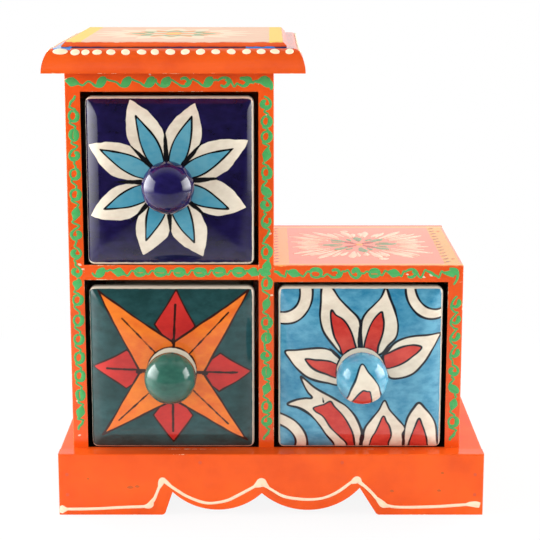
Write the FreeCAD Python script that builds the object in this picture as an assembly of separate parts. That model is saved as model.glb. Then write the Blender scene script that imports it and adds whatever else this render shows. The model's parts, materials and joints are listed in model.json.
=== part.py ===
"""Spice drawer box: a painted wooden tower and step on a scalloped plinth, with three ceramic drawers.

Millimetres, +Z up, +Y towards the back and +X to the viewer's right. The origin is under the middle of the
whole box, knobs and lid included, on the surface that it stands on.
"""

import FreeCAD
import Part

import math
import os

from FreeCAD import Vector

# Ceramic drawer, one pressed piece: a pillowed square front with a tray behind it
drawer_width = 76.0
drawer_height = 77.2
drawer_length = 103.5
front_thickness = 12.5
front_proud = 6.5
front_corner_radius = 3.0
pillow_drop = 6.5
pillow_edge_radius = 19.0
pillow_crown_radius = 400.0
pillow_rim_radius = 1.0
tray_side_inset = 1.6
tray_height = 66.0
tray_wall = 5.0
tray_floor = 5.0
tray_corner_radius = 8.0
tray_foot_radius = 2.5
cavity_floor_radius = 4.0
rim_radius = 1.6

# Ceramic ball knob, and the steel that holds it
knob_radius = 11.8
knob_centre_out = 12.0
knob_foot_radius = 8.2
knob_foot_height = 0.9
knob_neck_radius = 7.0
stud_radius = 2.0
stud_in_knob = 11.0
stud_tip_chamfer = 0.5
stud_hole_clearance = 0.4
washer_radius = 5.0
washer_thickness = 1.0
washer_bore_clearance = 0.2
nut_across_flats = 7.0
nut_thickness = 3.2
stud_past_nut = 1.4

# Room round each drawer in its opening
drawer_side_clearance = 2.1
drawer_floor_clearance = 0.2
drawer_top_clearance = 2.1
drawer_back_clearance = 1.2

# Wooden case: the sides and the shelf, and the two thicker boards on top
board = 7.0
step_board = 8.0
tower_board = 9.0
back_panel_thickness = 3.0
board_arris = 0.6

# Plinth: four apron boards round the bottom board, all flush on top
plinth_height = 29.5
apron_thickness = 8.0
bottom_board_thickness = 8.0
plinth_over_front = 10.7
plinth_over_back = 9.6
plinth_over_left = 6.0
plinth_over_right = 10.4

# Scallops of the front apron, along it and up from its foot
left_lobe_width = 41.6
right_lobe_width = 45.6
left_rise_run = 3.8
right_rise_run = 8.2
left_cusp_height = 11.2
middle_cusp_height = 10.6
right_cusp_height = 13.2
left_lobe_drop = 8.4
right_lobe_drop = 9.5
scallop_shift = -2.3
foot_corner_radius = 2.0

# Lid: a slab whose edge rises in a slow curve that tightens at the top, and a ledge below a raised field
lid_over_front = 10.2
lid_over_back = 10.0
lid_over_left = 9.0
lid_over_right = 14.0
lid_edge_height = 10.7
lid_edge_run = 5.4
lid_edge_top_radius = 3.4
lid_ledge_width = 3.0
lid_field_height = 2.9
lid_field_bevel = 1.9

# Lost-head nails, and the shorter tacks of the back panel
nail_radius = 0.9
nail_sides = 6
nail_grip = 10.0
tack_grip = 6.0
nail_inset = 14.0
tower_tacks = 3
step_tacks = 2

# The case, from the drawers and the room round them
opening_width = drawer_width + 2 * drawer_side_clearance
opening_height = drawer_floor_clearance + drawer_height + drawer_top_clearance
case_depth = drawer_length - front_proud + drawer_back_clearance
tower_width = opening_width + 2 * board
case_width = tower_width + opening_width + board
step_rise = opening_height + step_board
tower_rise = step_rise + opening_height + tower_board

# How far the whole box reaches from the front left corner of the case
reach_left = max(plinth_over_left, lid_over_left)
reach_right = max(case_width + plinth_over_right, tower_width + lid_over_right)
reach_front = max(plinth_over_front, lid_over_front, front_proud + knob_centre_out + knob_radius)
reach_back = case_depth + back_panel_thickness + max(plinth_over_back, lid_over_back)

# Faces of the case
case_left = (reach_left - reach_right) / 2
case_front = (reach_front - reach_back) / 2
tower_right = case_left + tower_width
case_right = case_left + case_width
case_back = case_front + case_depth
panel_back = case_back + back_panel_thickness
case_floor = plinth_height
step_top_z = case_floor + step_rise
tower_top_z = case_floor + tower_rise

# Faces of the plinth
plinth_left = case_left - plinth_over_left
plinth_right = case_right + plinth_over_right
plinth_front = case_front - plinth_over_front
plinth_back = panel_back + plinth_over_back

# Where each drawer stands: the middle of its front's foremost plane, at its underside
upper_place = Vector(case_left + board + opening_width / 2, case_front, step_top_z + drawer_floor_clearance)
lower_place = Vector(case_left + board + opening_width / 2, case_front, case_floor + drawer_floor_clearance)
side_place = Vector(tower_right + opening_width / 2, case_front, case_floor + drawer_floor_clearance)

# Along a drawer, measured back from the front of the case
plate_back = front_thickness - front_proud
tray_back = drawer_length - front_proud
knob_height = drawer_height / 2

FRONT = Vector(0, -1, 0)
BACK = Vector(0, 1, 0)
RIGHT = Vector(1, 0, 0)
LEFT = Vector(-1, 0, 0)
UP = Vector(0, 0, 1)
DOWN = Vector(0, 0, -1)
TOUCH = 1e-6
NEAR = 1e-3


def block(x_from, x_to, y_from, y_to, z_from, z_to):
    """A block between two corners."""
    return Part.makeBox(x_to - x_from, y_to - y_from, z_to - z_from, Vector(x_from, y_from, z_from))


def edges_through(shape, test):
    """The edges whose ends and middle all pass the test."""
    found = []
    for edge in shape.Edges:
        first, last = edge.ParameterRange
        if all(test(edge.valueAt(at)) for at in (first, (first + last) / 2, last)):
            found.append(edge)
    return found


def eased(board_shape, test):
    """The board with the edges that pass the test sanded round."""
    return board_shape.makeFillet(board_arris, edges_through(board_shape, test))


def spread(start, end, count):
    """Evenly spaced places from start to end, the first and last of them set in from the ends."""
    span = end - start - 2 * nail_inset
    return [start + nail_inset + span * i / (count - 1) for i in range(count)]


def nail(head, direction, first_board, grip):
    """A lost-head nail through the first board, flush at the point given, with a grip in the next board."""
    corners = []
    for i in range(nail_sides + 1):
        turn = 2 * math.pi * i / nail_sides
        corners.append(Vector(nail_radius * math.cos(turn), nail_radius * math.sin(turn), 0))
    shank = Part.Face(Part.makePolygon(corners)).extrude(UP * (first_board + grip))
    shank.Placement = FreeCAD.Placement(head, FreeCAD.Rotation(UP, direction))
    return shank


def pillow_section(half):
    """A level section of the drawer front: a shallow crown, two tighter edge arcs and straight sides."""
    crown_centre = Vector(0, pillow_crown_radius - front_proud, 0)
    foremost = Vector(0, -front_proud, 0)
    rim = Vector(half, pillow_drop - front_proud, 0)
    inner = pillow_crown_radius - pillow_edge_radius
    span = (rim - crown_centre).Length
    along = (rim - crown_centre) / span
    across = Vector(along.y, -along.x, 0)
    reach = (inner**2 - pillow_edge_radius**2 + span**2) / (2 * span)
    edge_centre = crown_centre + along * reach + across * math.sqrt(inner**2 - reach**2)
    meeting = edge_centre + (edge_centre - crown_centre).normalize() * pillow_edge_radius
    halfway = edge_centre + (meeting + rim - edge_centre * 2).normalize() * pillow_edge_radius

    def other(p):
        """The same point on the other side."""
        return Vector(-p.x, p.y, 0)

    back = Vector(half, plate_back, 0)
    outline = [
        Part.Arc(other(rim), other(halfway), other(meeting)).toShape(),
        Part.Arc(other(meeting), foremost, meeting).toShape(),
        Part.Arc(meeting, halfway, rim).toShape(),
        Part.makeLine(rim, back),
        Part.makeLine(back, other(back)),
        Part.makeLine(other(back), other(rim)),
    ]
    return Part.Face(Part.Wire(outline))


def drawer_front_plate():
    """The pillowed front: what two crossed pillow shapes and a round-cornered square have in common."""
    half = drawer_width / 2
    plate = block(-half, half, -front_proud, plate_back, 0, drawer_height)
    corners = [edge for edge in plate.Edges if abs(edge.tangentAt(edge.FirstParameter).y) > 0.5]
    plate = plate.makeFillet(front_corner_radius, corners)
    upright = pillow_section(half).extrude(UP * drawer_height)
    level = pillow_section(drawer_height / 2)
    level.Placement = FreeCAD.Placement(Vector(-half, 0, drawer_height / 2), FreeCAD.Rotation(BACK, 90))
    plate = plate.common(upright).common(level.extrude(RIGHT * drawer_width))
    rim = [edge for edge in edges_through(plate, on_plate_side) if edge.BoundBox.YMax < plate_back - NEAR]
    return plate.makeFillet(pillow_rim_radius, rim)


def on_plate_side(point):
    """Whether a point lies on a side of the drawer front or on a round corner between two sides."""
    past_x = abs(point.x) - drawer_width / 2 + front_corner_radius
    past_z = abs(point.z - drawer_height / 2) - drawer_height / 2 + front_corner_radius
    reach = math.hypot(past_x, past_z) if min(past_x, past_z) > 0 else max(past_x, past_z)
    return abs(reach - front_corner_radius) < NEAR


def round_cornered(half_width, y_from, y_to, radius, z_from, z_to):
    """An upright block with round corners."""
    solid = block(-half_width, half_width, y_from, y_to, z_from, z_to)
    return solid.makeFillet(radius, [edge for edge in solid.Edges if edge.BoundBox.ZLength > TOUCH])


def drawer_body():
    """The tray behind the front: a round-cornered tub, cut off where it joins the front."""
    half = drawer_width / 2 - tray_side_inset
    tub_front = plate_back - tray_wall - 2 * tray_corner_radius
    tub = round_cornered(half, tub_front, tray_back, tray_corner_radius, 0, tray_height)
    tub = tub.makeFillet(tray_foot_radius, edges_through(tub, lambda p: abs(p.z) < TOUCH))
    inner_radius = tray_corner_radius - tray_wall / 2
    room = round_cornered(
        half - tray_wall, tub_front + tray_wall, tray_back - tray_wall, inner_radius, tray_floor, tray_height
    )
    room = room.makeFillet(cavity_floor_radius, edges_through(room, lambda p: abs(p.z - tray_floor) < TOUCH))
    tub = tub.cut(room)
    rim = edges_through(tub, lambda p: abs(p.z - tray_height) < TOUCH)
    tub = tub.makeFillet(min(rim_radius, 0.4 * tray_wall), rim)
    return tub.cut(block(-half, half, tub_front, plate_back, 0, tray_height))


def drawer_tray():
    """The whole ceramic drawer: its underside at z = 0 and the front of the case at y = 0."""
    tray = drawer_front_plate().fuse(drawer_body())
    hole_from = Vector(0, -front_thickness, knob_height)
    hole = Part.makeCylinder(stud_radius + stud_hole_clearance, 3 * front_thickness, hole_from, BACK)
    return tray.cut(hole)


def knob():
    """The ball knob, turned about its own axis: a small foot, a neck and the ball."""
    neck_out = knob_centre_out - math.sqrt(knob_radius**2 - knob_neck_radius**2)
    tip = Vector(0, 0, knob_centre_out + knob_radius)
    side = Vector(knob_radius, 0, knob_centre_out)
    neck_top = Vector(knob_neck_radius, 0, neck_out)
    neck_bottom = Vector(knob_neck_radius, 0, knob_foot_height)
    foot_top = Vector(knob_foot_radius, 0, knob_foot_height)
    profile = Part.Wire(
        [
            Part.makeLine(Vector(0, 0, 0), Vector(knob_foot_radius, 0, 0)),
            Part.makeLine(Vector(knob_foot_radius, 0, 0), foot_top),
            Part.makeLine(foot_top, neck_bottom),
            Part.makeLine(neck_bottom, neck_top),
            Part.Arc(neck_top, side, tip).toShape(),
            Part.makeLine(tip, Vector(0, 0, 0)),
        ]
    )
    ball = Part.Face(profile).revolve(Vector(), UP, 360)
    ball = ball.cut(Part.makeCylinder(stud_radius, stud_in_knob))
    ball.Placement = FreeCAD.Placement(Vector(0, -front_proud, knob_height), FreeCAD.Rotation(UP, FRONT))
    return ball


def knob_stud():
    """The threaded steel stud: cemented in the knob, it passes the front and ends past the nut."""
    length = stud_in_knob + front_thickness + washer_thickness + nut_thickness + stud_past_nut
    rod = Part.makeCylinder(stud_radius, length, Vector(0, -front_proud - stud_in_knob, knob_height), BACK)
    end = edges_through(rod, lambda p: p.y > length - front_proud - stud_in_knob - TOUCH)
    return rod.makeChamfer(stud_tip_chamfer, end)


def knob_washer():
    """The washer inside the drawer."""
    seat = Vector(0, plate_back, knob_height)
    disc = Part.makeCylinder(washer_radius, washer_thickness, seat, BACK)
    return disc.cut(Part.makeCylinder(stud_radius + washer_bore_clearance, washer_thickness, seat, BACK))


def knob_nut():
    """The hexagon nut on the washer."""
    seat = plate_back + washer_thickness
    corner = nut_across_flats / 2 / math.cos(math.pi / 6)
    points = []
    for i in range(7):
        angle = math.pi / 3 * i
        points.append(Vector(corner * math.cos(angle), seat, knob_height + corner * math.sin(angle)))
    prism = Part.Face(Part.makePolygon(points)).extrude(Vector(0, nut_thickness, 0))
    return prism.cut(Part.makeCylinder(stud_radius, nut_thickness, Vector(0, seat, knob_height), BACK))


def front_apron():
    """The front apron, with two round lobes hanging between three notches and a foot at each end."""
    middle = (plinth_left + plinth_right) / 2 + scallop_shift
    left_cusp_x = middle - (left_lobe_width + right_lobe_width) / 2
    middle_cusp_x = left_cusp_x + left_lobe_width
    right_cusp_x = middle_cusp_x + right_lobe_width
    left_cusp = Vector(left_cusp_x, plinth_front, left_cusp_height)
    middle_cusp = Vector(middle_cusp_x, plinth_front, middle_cusp_height)
    right_cusp = Vector(right_cusp_x, plinth_front, right_cusp_height)
    left_foot = Vector(left_cusp_x - left_rise_run, plinth_front, 0)
    right_foot = Vector(right_cusp_x + right_rise_run, plinth_front, 0)
    left_bottom = (left_cusp + middle_cusp) / 2 - UP * left_lobe_drop
    right_bottom = (middle_cusp + right_cusp) / 2 - UP * right_lobe_drop
    low_left = Vector(plinth_left, plinth_front, 0)
    low_right = Vector(plinth_right, plinth_front, 0)
    top_right = Vector(plinth_right, plinth_front, plinth_height)
    top_left = Vector(plinth_left, plinth_front, plinth_height)
    outline = Part.Wire(
        [
            Part.makeLine(top_left, low_left),
            Part.makeLine(low_left, left_foot),
            Part.makeLine(left_foot, left_cusp),
            Part.Arc(left_cusp, left_bottom, middle_cusp).toShape(),
            Part.Arc(middle_cusp, right_bottom, right_cusp).toShape(),
            Part.makeLine(right_cusp, right_foot),
            Part.makeLine(right_foot, low_right),
            Part.makeLine(low_right, top_right),
            Part.makeLine(top_right, top_left),
        ]
    )
    apron = Part.Face(outline).extrude(Vector(0, apron_thickness, 0))
    toes = [left_foot, right_foot]
    toe_edges = edges_through(apron, lambda p: any(abs(p.x - toe.x) + abs(p.z) < TOUCH for toe in toes))
    apron = apron.makeFillet(foot_corner_radius, toe_edges)
    return eased(apron, lambda p: abs(p.y - plinth_front) < TOUCH and on_plinth_rim(p))


def on_plinth_rim(point):
    """Whether a point of the front apron lies on its top edge or on one of its ends."""
    at_end = abs(point.x - plinth_left) < TOUCH or abs(point.x - plinth_right) < TOUCH
    return at_end or abs(point.z - plinth_height) < TOUCH


def side_apron(x_from, x_to, outer_x):
    """A side apron, between the front and back aprons."""
    y_from = plinth_front + apron_thickness
    y_to = plinth_back - apron_thickness
    apron = block(x_from, x_to, y_from, y_to, 0, plinth_height)
    return eased(apron, lambda p: abs(p.x - outer_x) < TOUCH and abs(p.z - plinth_height) < TOUCH)


def back_apron():
    """The back apron, straight along its foot."""
    apron = block(plinth_left, plinth_right, plinth_back - apron_thickness, plinth_back, 0, plinth_height)
    return eased(apron, lambda p: abs(p.y - plinth_back) < TOUCH and on_plinth_rim(p))


def lid_section(start, end):
    """A section through the lid's slab from edge to edge, standing on z = 0 in the plane y = 0."""
    rise = lid_edge_height
    run = lid_edge_run
    tight = lid_edge_top_radius
    slow = (run**2 + rise**2 - 2 * rise * tight) / (2 * (run - tight))
    slow_centre = Vector(slow, 0, 0)
    tight_centre = Vector(run, 0, rise - tight)
    outwards = (tight_centre - slow_centre).normalize()
    meeting = tight_centre + outwards * tight
    slow_middle = slow_centre + (outwards + LEFT).normalize() * slow
    tight_middle = tight_centre + (outwards + UP).normalize() * tight
    top = Vector(run, 0, rise)

    def near(p):
        """The point on the edge at the start."""
        return Vector(start + p.x, 0, p.z)

    def far(p):
        """The same point on the edge at the end."""
        return Vector(end - p.x, 0, p.z)

    foot = Vector(0, 0, 0)
    outline = [
        Part.Arc(near(foot), near(slow_middle), near(meeting)).toShape(),
        Part.Arc(near(meeting), near(tight_middle), near(top)).toShape(),
        Part.makeLine(near(top), far(top)),
        Part.Arc(far(top), far(tight_middle), far(meeting)).toShape(),
        Part.Arc(far(meeting), far(slow_middle), far(foot)).toShape(),
        Part.makeLine(far(foot), near(foot)),
    ]
    return Part.Face(Part.Wire(outline))


def lid():
    """The routed lid: a curved edge mitred at the corners, a ledge and a bevelled field."""
    left = case_left - lid_over_left
    right = tower_right + lid_over_right
    front = case_front - lid_over_front
    back = panel_back + lid_over_back
    ledge_z = tower_top_z + lid_edge_height
    across = lid_section(left, right)
    across.translate(Vector(0, front, tower_top_z))
    lengthways = lid_section(front, back)
    lengthways.Placement = FreeCAD.Placement(Vector(left, 0, tower_top_z), FreeCAD.Rotation(UP, 90))
    slab = across.extrude(BACK * (back - front)).common(lengthways.extrude(RIGHT * (right - left)))
    inset = lid_edge_run + lid_ledge_width
    field_z = ledge_z + lid_field_height
    field = block(left + inset, right - inset, front + inset, back - inset, ledge_z, field_z)
    rim = edges_through(field, lambda p: abs(p.z - field_z) < TOUCH)
    field = field.makeChamfer(min(lid_field_bevel, 0.9 * lid_field_height), rim)
    return slab.fuse(field).removeSplitter()


def tower_left_side():
    """The tower's left side, full height, with its outer front edge eased."""
    side = block(case_left, case_left + board, case_front, case_back, case_floor, tower_top_z)
    return eased(side, lambda p: abs(p.x - case_left) < TOUCH and abs(p.y - case_front) < TOUCH)


def tower_right_side():
    """The tower's right side, full height: below the step it is the wall between the lower drawers."""
    inner = tower_right - board
    lower = block(inner, tower_right, case_front, case_back, case_floor, step_top_z)
    upper = block(inner, tower_right, case_front, case_back, step_top_z, tower_top_z)
    upper = eased(upper, lambda p: abs(p.x - tower_right) < TOUCH and abs(p.y - case_front) < TOUCH)
    return lower.fuse(upper).removeSplitter()


def step_right_side():
    """The low right side, under the end of the step's top board."""
    side = block(case_right - board, case_right, case_front, case_back, case_floor, step_top_z - step_board)
    return eased(side, lambda p: abs(p.x - case_right) < TOUCH and abs(p.y - case_front) < TOUCH)


def step_top_board():
    """The step's top board, from the tower to the outer face of the low side."""
    top = block(tower_right, case_right, case_front, case_back, step_top_z - step_board, step_top_z)

    def is_outer(p):
        """Whether a point lies on two of the board's open faces."""
        beside = abs(p.x - case_right) < TOUCH
        before = abs(p.y - case_front) < TOUCH
        above = abs(p.z - step_top_z) < TOUCH
        return beside + before + above > 1

    return eased(top, is_outer)


def level_board(top_z, thickness):
    """A board between the tower's two sides, its upper face at the height given."""
    return block(case_left + board, tower_right - board, case_front, case_back, top_z - thickness, top_z)


def bottom_board():
    """The bottom board, between the aprons and flush with their tops."""
    return block(
        plinth_left + apron_thickness,
        plinth_right - apron_thickness,
        plinth_front + apron_thickness,
        plinth_back - apron_thickness,
        plinth_height - bottom_board_thickness,
        plinth_height,
    )


def back_panel():
    """The thin L-shaped panel that closes the back of the tower and the step."""
    corners = [
        (case_left, case_floor),
        (case_right, case_floor),
        (case_right, step_top_z),
        (tower_right, step_top_z),
        (tower_right, tower_top_z),
        (case_left, tower_top_z),
        (case_left, case_floor),
    ]
    outline = Part.makePolygon([Vector(x, case_back, z) for x, z in corners])
    return Part.Face(outline).extrude(Vector(0, back_panel_thickness, 0))


def plinth_nails():
    """Nails through the front and back aprons, into the side aprons and the bottom board."""
    nails = []
    low_z = plinth_height / 3
    high_z = plinth_height - bottom_board_thickness / 2
    for y, inward in ((plinth_front, BACK), (plinth_back, FRONT)):
        for x in (plinth_left + apron_thickness / 2, plinth_right - apron_thickness / 2):
            for z in (low_z, 2 * low_z):
                nails.append(nail(Vector(x, y, z), inward, apron_thickness, nail_grip))
        for third in (1, 2):
            x = plinth_left + (plinth_right - plinth_left) * third / 3
            nails.append(nail(Vector(x, y, high_z), inward, apron_thickness, nail_grip))
    return nails


def bottom_nails():
    """Nails up through the bottom board into the lower ends of the three sides."""
    inner_left = (max(case_left, plinth_left + apron_thickness) + case_left + board) / 2
    inner_right = (min(case_right, plinth_right - apron_thickness) + case_right - board) / 2
    nails = []
    for x in (inner_left, tower_right - board / 2, inner_right):
        for y in (case_front + nail_inset, case_back - nail_inset):
            head = Vector(x, y, plinth_height - bottom_board_thickness)
            nails.append(nail(head, UP, bottom_board_thickness, nail_grip))
    return nails


def case_nails():
    """Nails through the tower's sides into its shelf and top, and down through the step's top board."""
    nails = []
    for y in (case_front + nail_inset, case_back - nail_inset):
        for z in (step_top_z - board / 2, tower_top_z - tower_board / 2):
            nails.append(nail(Vector(case_left, y, z), RIGHT, board, nail_grip))
            nails.append(nail(Vector(tower_right, y, z), LEFT, board, nail_grip))
        nails.append(nail(Vector(case_right - board / 2, y, step_top_z), DOWN, step_board, nail_grip))
    return nails


def lid_nails():
    """Nails up through the tower's top board into the lid, clear of those from the sides."""
    nails = []
    for x in (case_left + board + nail_inset, tower_right - board - nail_inset):
        for third in (1, 2):
            head = Vector(x, case_front + case_depth * third / 3, tower_top_z - tower_board)
            nails.append(nail(head, UP, tower_board, nail_grip))
    return nails


def panel_tacks():
    """Tacks through the back panel into the back edges of the case."""
    places = []
    for z in spread(case_floor, tower_top_z, tower_tacks):
        places.append((case_left + board / 2, z))
        places.append((tower_right - board / 2, z))
    for z in spread(case_floor, step_top_z, step_tacks):
        places.append((case_right - board / 2, z))
    places.append((case_left + tower_width / 2, tower_top_z - tower_board / 2))
    places.append((case_left + tower_width / 2, step_top_z - board / 2))
    places.append((tower_right + opening_width / 2, step_top_z - step_board / 2))
    return [nail(Vector(x, panel_back, z), FRONT, back_panel_thickness, tack_grip) for x, z in places]


def drilled(board_shape, nails):
    """The board without the wood that its nails fill."""
    for each in nails:
        if board_shape.BoundBox.intersect(each.BoundBox):
            board_shape = board_shape.cut(each)
    return board_shape


def wooden_nodes():
    """Every board, drilled for the nails, and the groups of nails."""
    boards = {
        "front_apron": front_apron(),
        "back_apron": back_apron(),
        "left_apron": side_apron(plinth_left, plinth_left + apron_thickness, plinth_left),
        "right_apron": side_apron(plinth_right - apron_thickness, plinth_right, plinth_right),
        "bottom_board": bottom_board(),
        "tower_left_side": tower_left_side(),
        "tower_right_side": tower_right_side(),
        "step_right_side": step_right_side(),
        "tower_shelf": level_board(step_top_z, board),
        "tower_top_board": level_board(tower_top_z, tower_board),
        "step_top_board": step_top_board(),
        "lid": lid(),
        "back_panel": back_panel(),
    }
    groups = {
        "plinth_nails": plinth_nails(),
        "bottom_nails": bottom_nails(),
        "case_nails": case_nails(),
        "lid_nails": lid_nails(),
        "back_panel_tacks": panel_tacks(),
    }
    nails = [each for group in groups.values() for each in group]
    nodes = {name: drilled(shape, nails) for name, shape in boards.items()}
    nodes.update({name: Part.makeCompound(group) for name, group in groups.items()})
    return nodes


def drawer_nodes():
    """Three like drawers, each with its knob and the steel that holds it."""
    pieces = {
        "tray": drawer_tray(),
        "knob": knob(),
        "knob_stud": knob_stud(),
        "knob_washer": knob_washer(),
        "knob_nut": knob_nut(),
    }
    places = {"upper_drawer": upper_place, "lower_drawer": lower_place, "side_drawer": side_place}
    nodes = {}
    for drawer, place in places.items():
        for piece, shape in pieces.items():
            nodes[f"{drawer}_{piece}"] = shape.translated(place)
    return nodes


def main():
    """Write one file for each node."""
    os.makedirs("parts", exist_ok=True)
    nodes = {**wooden_nodes(), **drawer_nodes()}
    for name, shape in nodes.items():
        shape.exportStep(f"parts/{name}.step")
        print(name, "solids", len(shape.Solids), "valid", shape.isValid(), "volume", round(shape.Volume, 1))


main()
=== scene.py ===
# %% [markdown]
# This lesson dresses a small spice chest: a painted wooden tower with a step beside it, three ceramic
# drawers with ball knobs, and a scalloped plinth. The construction comes in as a fixed frame. Everything
# here is about how the surfaces look, so each new piece is placed from the box of the node that carries it.

import json
import math
import random
from functools import reduce

import bmesh
import bpy
import numpy as np
from mathutils import Matrix, Vector

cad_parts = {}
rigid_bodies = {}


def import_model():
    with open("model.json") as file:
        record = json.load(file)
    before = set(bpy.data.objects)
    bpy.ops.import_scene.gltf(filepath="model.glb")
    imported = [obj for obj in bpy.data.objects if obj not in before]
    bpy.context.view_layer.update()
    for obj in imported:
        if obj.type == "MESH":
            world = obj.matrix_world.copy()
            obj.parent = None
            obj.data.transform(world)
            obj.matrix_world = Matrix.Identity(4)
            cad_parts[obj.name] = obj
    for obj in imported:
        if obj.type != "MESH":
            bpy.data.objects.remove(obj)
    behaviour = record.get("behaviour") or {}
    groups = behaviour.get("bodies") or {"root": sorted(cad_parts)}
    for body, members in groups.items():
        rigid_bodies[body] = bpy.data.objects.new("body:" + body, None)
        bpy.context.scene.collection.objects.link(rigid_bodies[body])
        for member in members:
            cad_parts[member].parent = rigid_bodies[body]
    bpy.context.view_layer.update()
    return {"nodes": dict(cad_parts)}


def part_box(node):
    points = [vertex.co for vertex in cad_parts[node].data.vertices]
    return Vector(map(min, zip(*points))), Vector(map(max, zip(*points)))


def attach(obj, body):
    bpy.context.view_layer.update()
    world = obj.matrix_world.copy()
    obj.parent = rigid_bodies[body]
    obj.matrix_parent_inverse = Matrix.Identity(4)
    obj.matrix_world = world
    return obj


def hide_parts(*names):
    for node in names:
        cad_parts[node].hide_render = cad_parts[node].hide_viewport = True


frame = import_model()
MM = 0.001
case_low, case_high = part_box("tower_left_side")
plinth_low, plinth_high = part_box("front_apron")
lid_low, lid_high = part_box("lid")
step_low, step_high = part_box("step_top_board")
case_left, case_front, case_floor = case_low

# %% [markdown]
# The camera comes first. A long lens stood a little under 80 cm in front of the chest, slightly above the
# lid, and looked down by twelve degrees. Its place is given from the lower left corner of the case front,
# so that it follows the frame.

# %% Camera
CAMERA_FROM_CASE = Vector((92.4, -736.2, 240.7)) * MM
CAMERA_DOWN = math.radians(11.93)
LENS_MM = 109.2
SENSOR_MM = 36.0
NEAREST_SEEN = 0.01
FARTHEST_SEEN = 50.0


def in_scene(name, data):
    """A new object in the scene that carries the data given."""
    made = bpy.data.objects.new(name, data)
    bpy.context.scene.collection.objects.link(made)
    return made


camera_data = bpy.data.cameras.new("camera")
camera_data.lens = LENS_MM
camera_data.sensor_width = SENSOR_MM
camera_data.clip_start = NEAREST_SEEN
camera_data.clip_end = FARTHEST_SEEN
camera = in_scene("camera", camera_data)
camera.location = Vector((case_left, case_front, case_floor)) + CAMERA_FROM_CASE
camera.rotation_euler = (math.pi / 2 - CAMERA_DOWN, 0.0, 0.0)
bpy.context.scene.camera = camera
print("camera at", [round(value, 3) for value in camera.location])

# %% [markdown]
# A material is a small graph. These helpers keep each graph short: one adds a node and sets its plain
# values, one joins two sockets, and the others are the few kinds of node that every finish here is made of.
# Effects that several finishes share become node groups, so that the paint, the glaze and the steel all use
# the same brush marks and wobble, each with its own values.

# %% Graph helpers
def add(tree, kind, values=None, **settings):
    """A new node in a tree, with settings on the node and plain values in its input sockets."""
    node = tree.nodes.new(kind)
    for name, value in settings.items():
        setattr(node, name, value)
    for name, value in (values or {}).items():
        node.inputs[name].default_value = value
    return node


def join(tree, source, target):
    """A link from an output socket to an input socket."""
    tree.links.new(source, target)


def fill(tree, slot, value):
    """Gives an input socket a value: another socket or a plain one."""
    if isinstance(value, bpy.types.NodeSocket):
        join(tree, value, slot)
    else:
        slot.default_value = value


def math_node(tree, operation, first, second=None, clamp=False):
    """A math node whose inputs are sockets or numbers; gives its output."""
    node = add(tree, "ShaderNodeMath", operation=operation, use_clamp=clamp)
    fill(tree, node.inputs[0], first)
    if second is not None:
        fill(tree, node.inputs[1], second)
    return node.outputs[0]


def scaled(tree, value, factor, start=0.0):
    """A value times a factor, counted from a start."""
    return math_node(tree, "ADD", math_node(tree, "MULTIPLY", value, factor), start)


def contrast(tree, value, level, gain):
    """How far a value is above a level, times a gain, kept between 0 and 1."""
    return math_node(tree, "MULTIPLY", math_node(tree, "SUBTRACT", value, level), gain, clamp=True)


def over_all(tree, operation, values):
    """One math operation carried over several sockets."""
    return reduce(lambda first, second: math_node(tree, operation, first, second), values)


def vector_node(tree, operation, first, second=None):
    """A vector math node whose inputs are sockets; gives the node."""
    node = add(tree, "ShaderNodeVectorMath", operation=operation)
    join(tree, first, node.inputs[0])
    if second is not None:
        join(tree, second, node.inputs[1])
    return node


def parts_of(tree, vector):
    """The X, Y and Z sockets of a vector socket."""
    apart = add(tree, "ShaderNodeSeparateXYZ")
    join(tree, vector, apart.inputs[0])
    return apart.outputs


def ramp(tree, value, start, end, low=0.0, high=1.0):
    """Carries a value from the range start to end over to the range low to high, and keeps it inside."""
    limits = {"From Min": start, "From Max": end, "To Min": low, "To Max": high}
    node = add(tree, "ShaderNodeMapRange", limits)
    join(tree, value, node.inputs["Value"])
    return node.outputs["Result"]


def noise(tree, place, scale, detail, roughness=0.5):
    """A cloudy value, from 0 to 1, read at a place."""
    node = add(tree, "ShaderNodeTexNoise", {"Scale": scale, "Detail": detail, "Roughness": roughness})
    join(tree, place, node.inputs["Vector"])
    return node.outputs["Fac"]


def mixed(tree, factor, first, second):
    """A colour mix; each argument is a socket or a plain value. Gives the result."""
    node = add(tree, "ShaderNodeMix", data_type="RGBA")
    for slot, value in ((node.inputs[0], factor), (node.inputs[6], first), (node.inputs[7], second)):
        fill(tree, slot, value)
    return node.outputs[2]


def colour(red, green, blue):
    """A screen colour, 0 to 255, as the linear values that a shader wants."""
    linear = []
    for value in (red, green, blue):
        share = value / 255
        linear.append(share / 12.92 if share <= 0.04045 else ((share + 0.055) / 1.055) ** 2.4)
    return (*linear, 1.0)


def new_group(name, inputs, outputs):
    """An empty node group with named sockets; gives the tree and its input and output nodes."""
    tree = bpy.data.node_groups.new(name, "ShaderNodeTree")
    for label, kind, value in inputs:
        socket = tree.interface.new_socket(name=label, in_out="INPUT", socket_type=kind)
        if value is not None:
            socket.default_value = value
    for label, kind in outputs:
        tree.interface.new_socket(name=label, in_out="OUTPUT", socket_type=kind)
    return tree, tree.nodes.new("NodeGroupInput"), tree.nodes.new("NodeGroupOutput")


def use(tree, group, **values):
    """Places a group in a material. Values are sockets or plain values, named as the inputs are."""
    node = add(tree, "ShaderNodeGroup", node_tree=group)
    for name, value in values.items():
        fill(tree, node.inputs[name], value)
    return node


def new_finish(name):
    """A material; gives it, its tree, its shader and the place on the object that patterns read."""
    material = bpy.data.materials.new(name)
    material.use_nodes = True
    tree = material.node_tree
    place = add(tree, "ShaderNodeTexCoord").outputs["Object"]
    return material, tree, tree.nodes["Principled BSDF"], place


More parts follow.
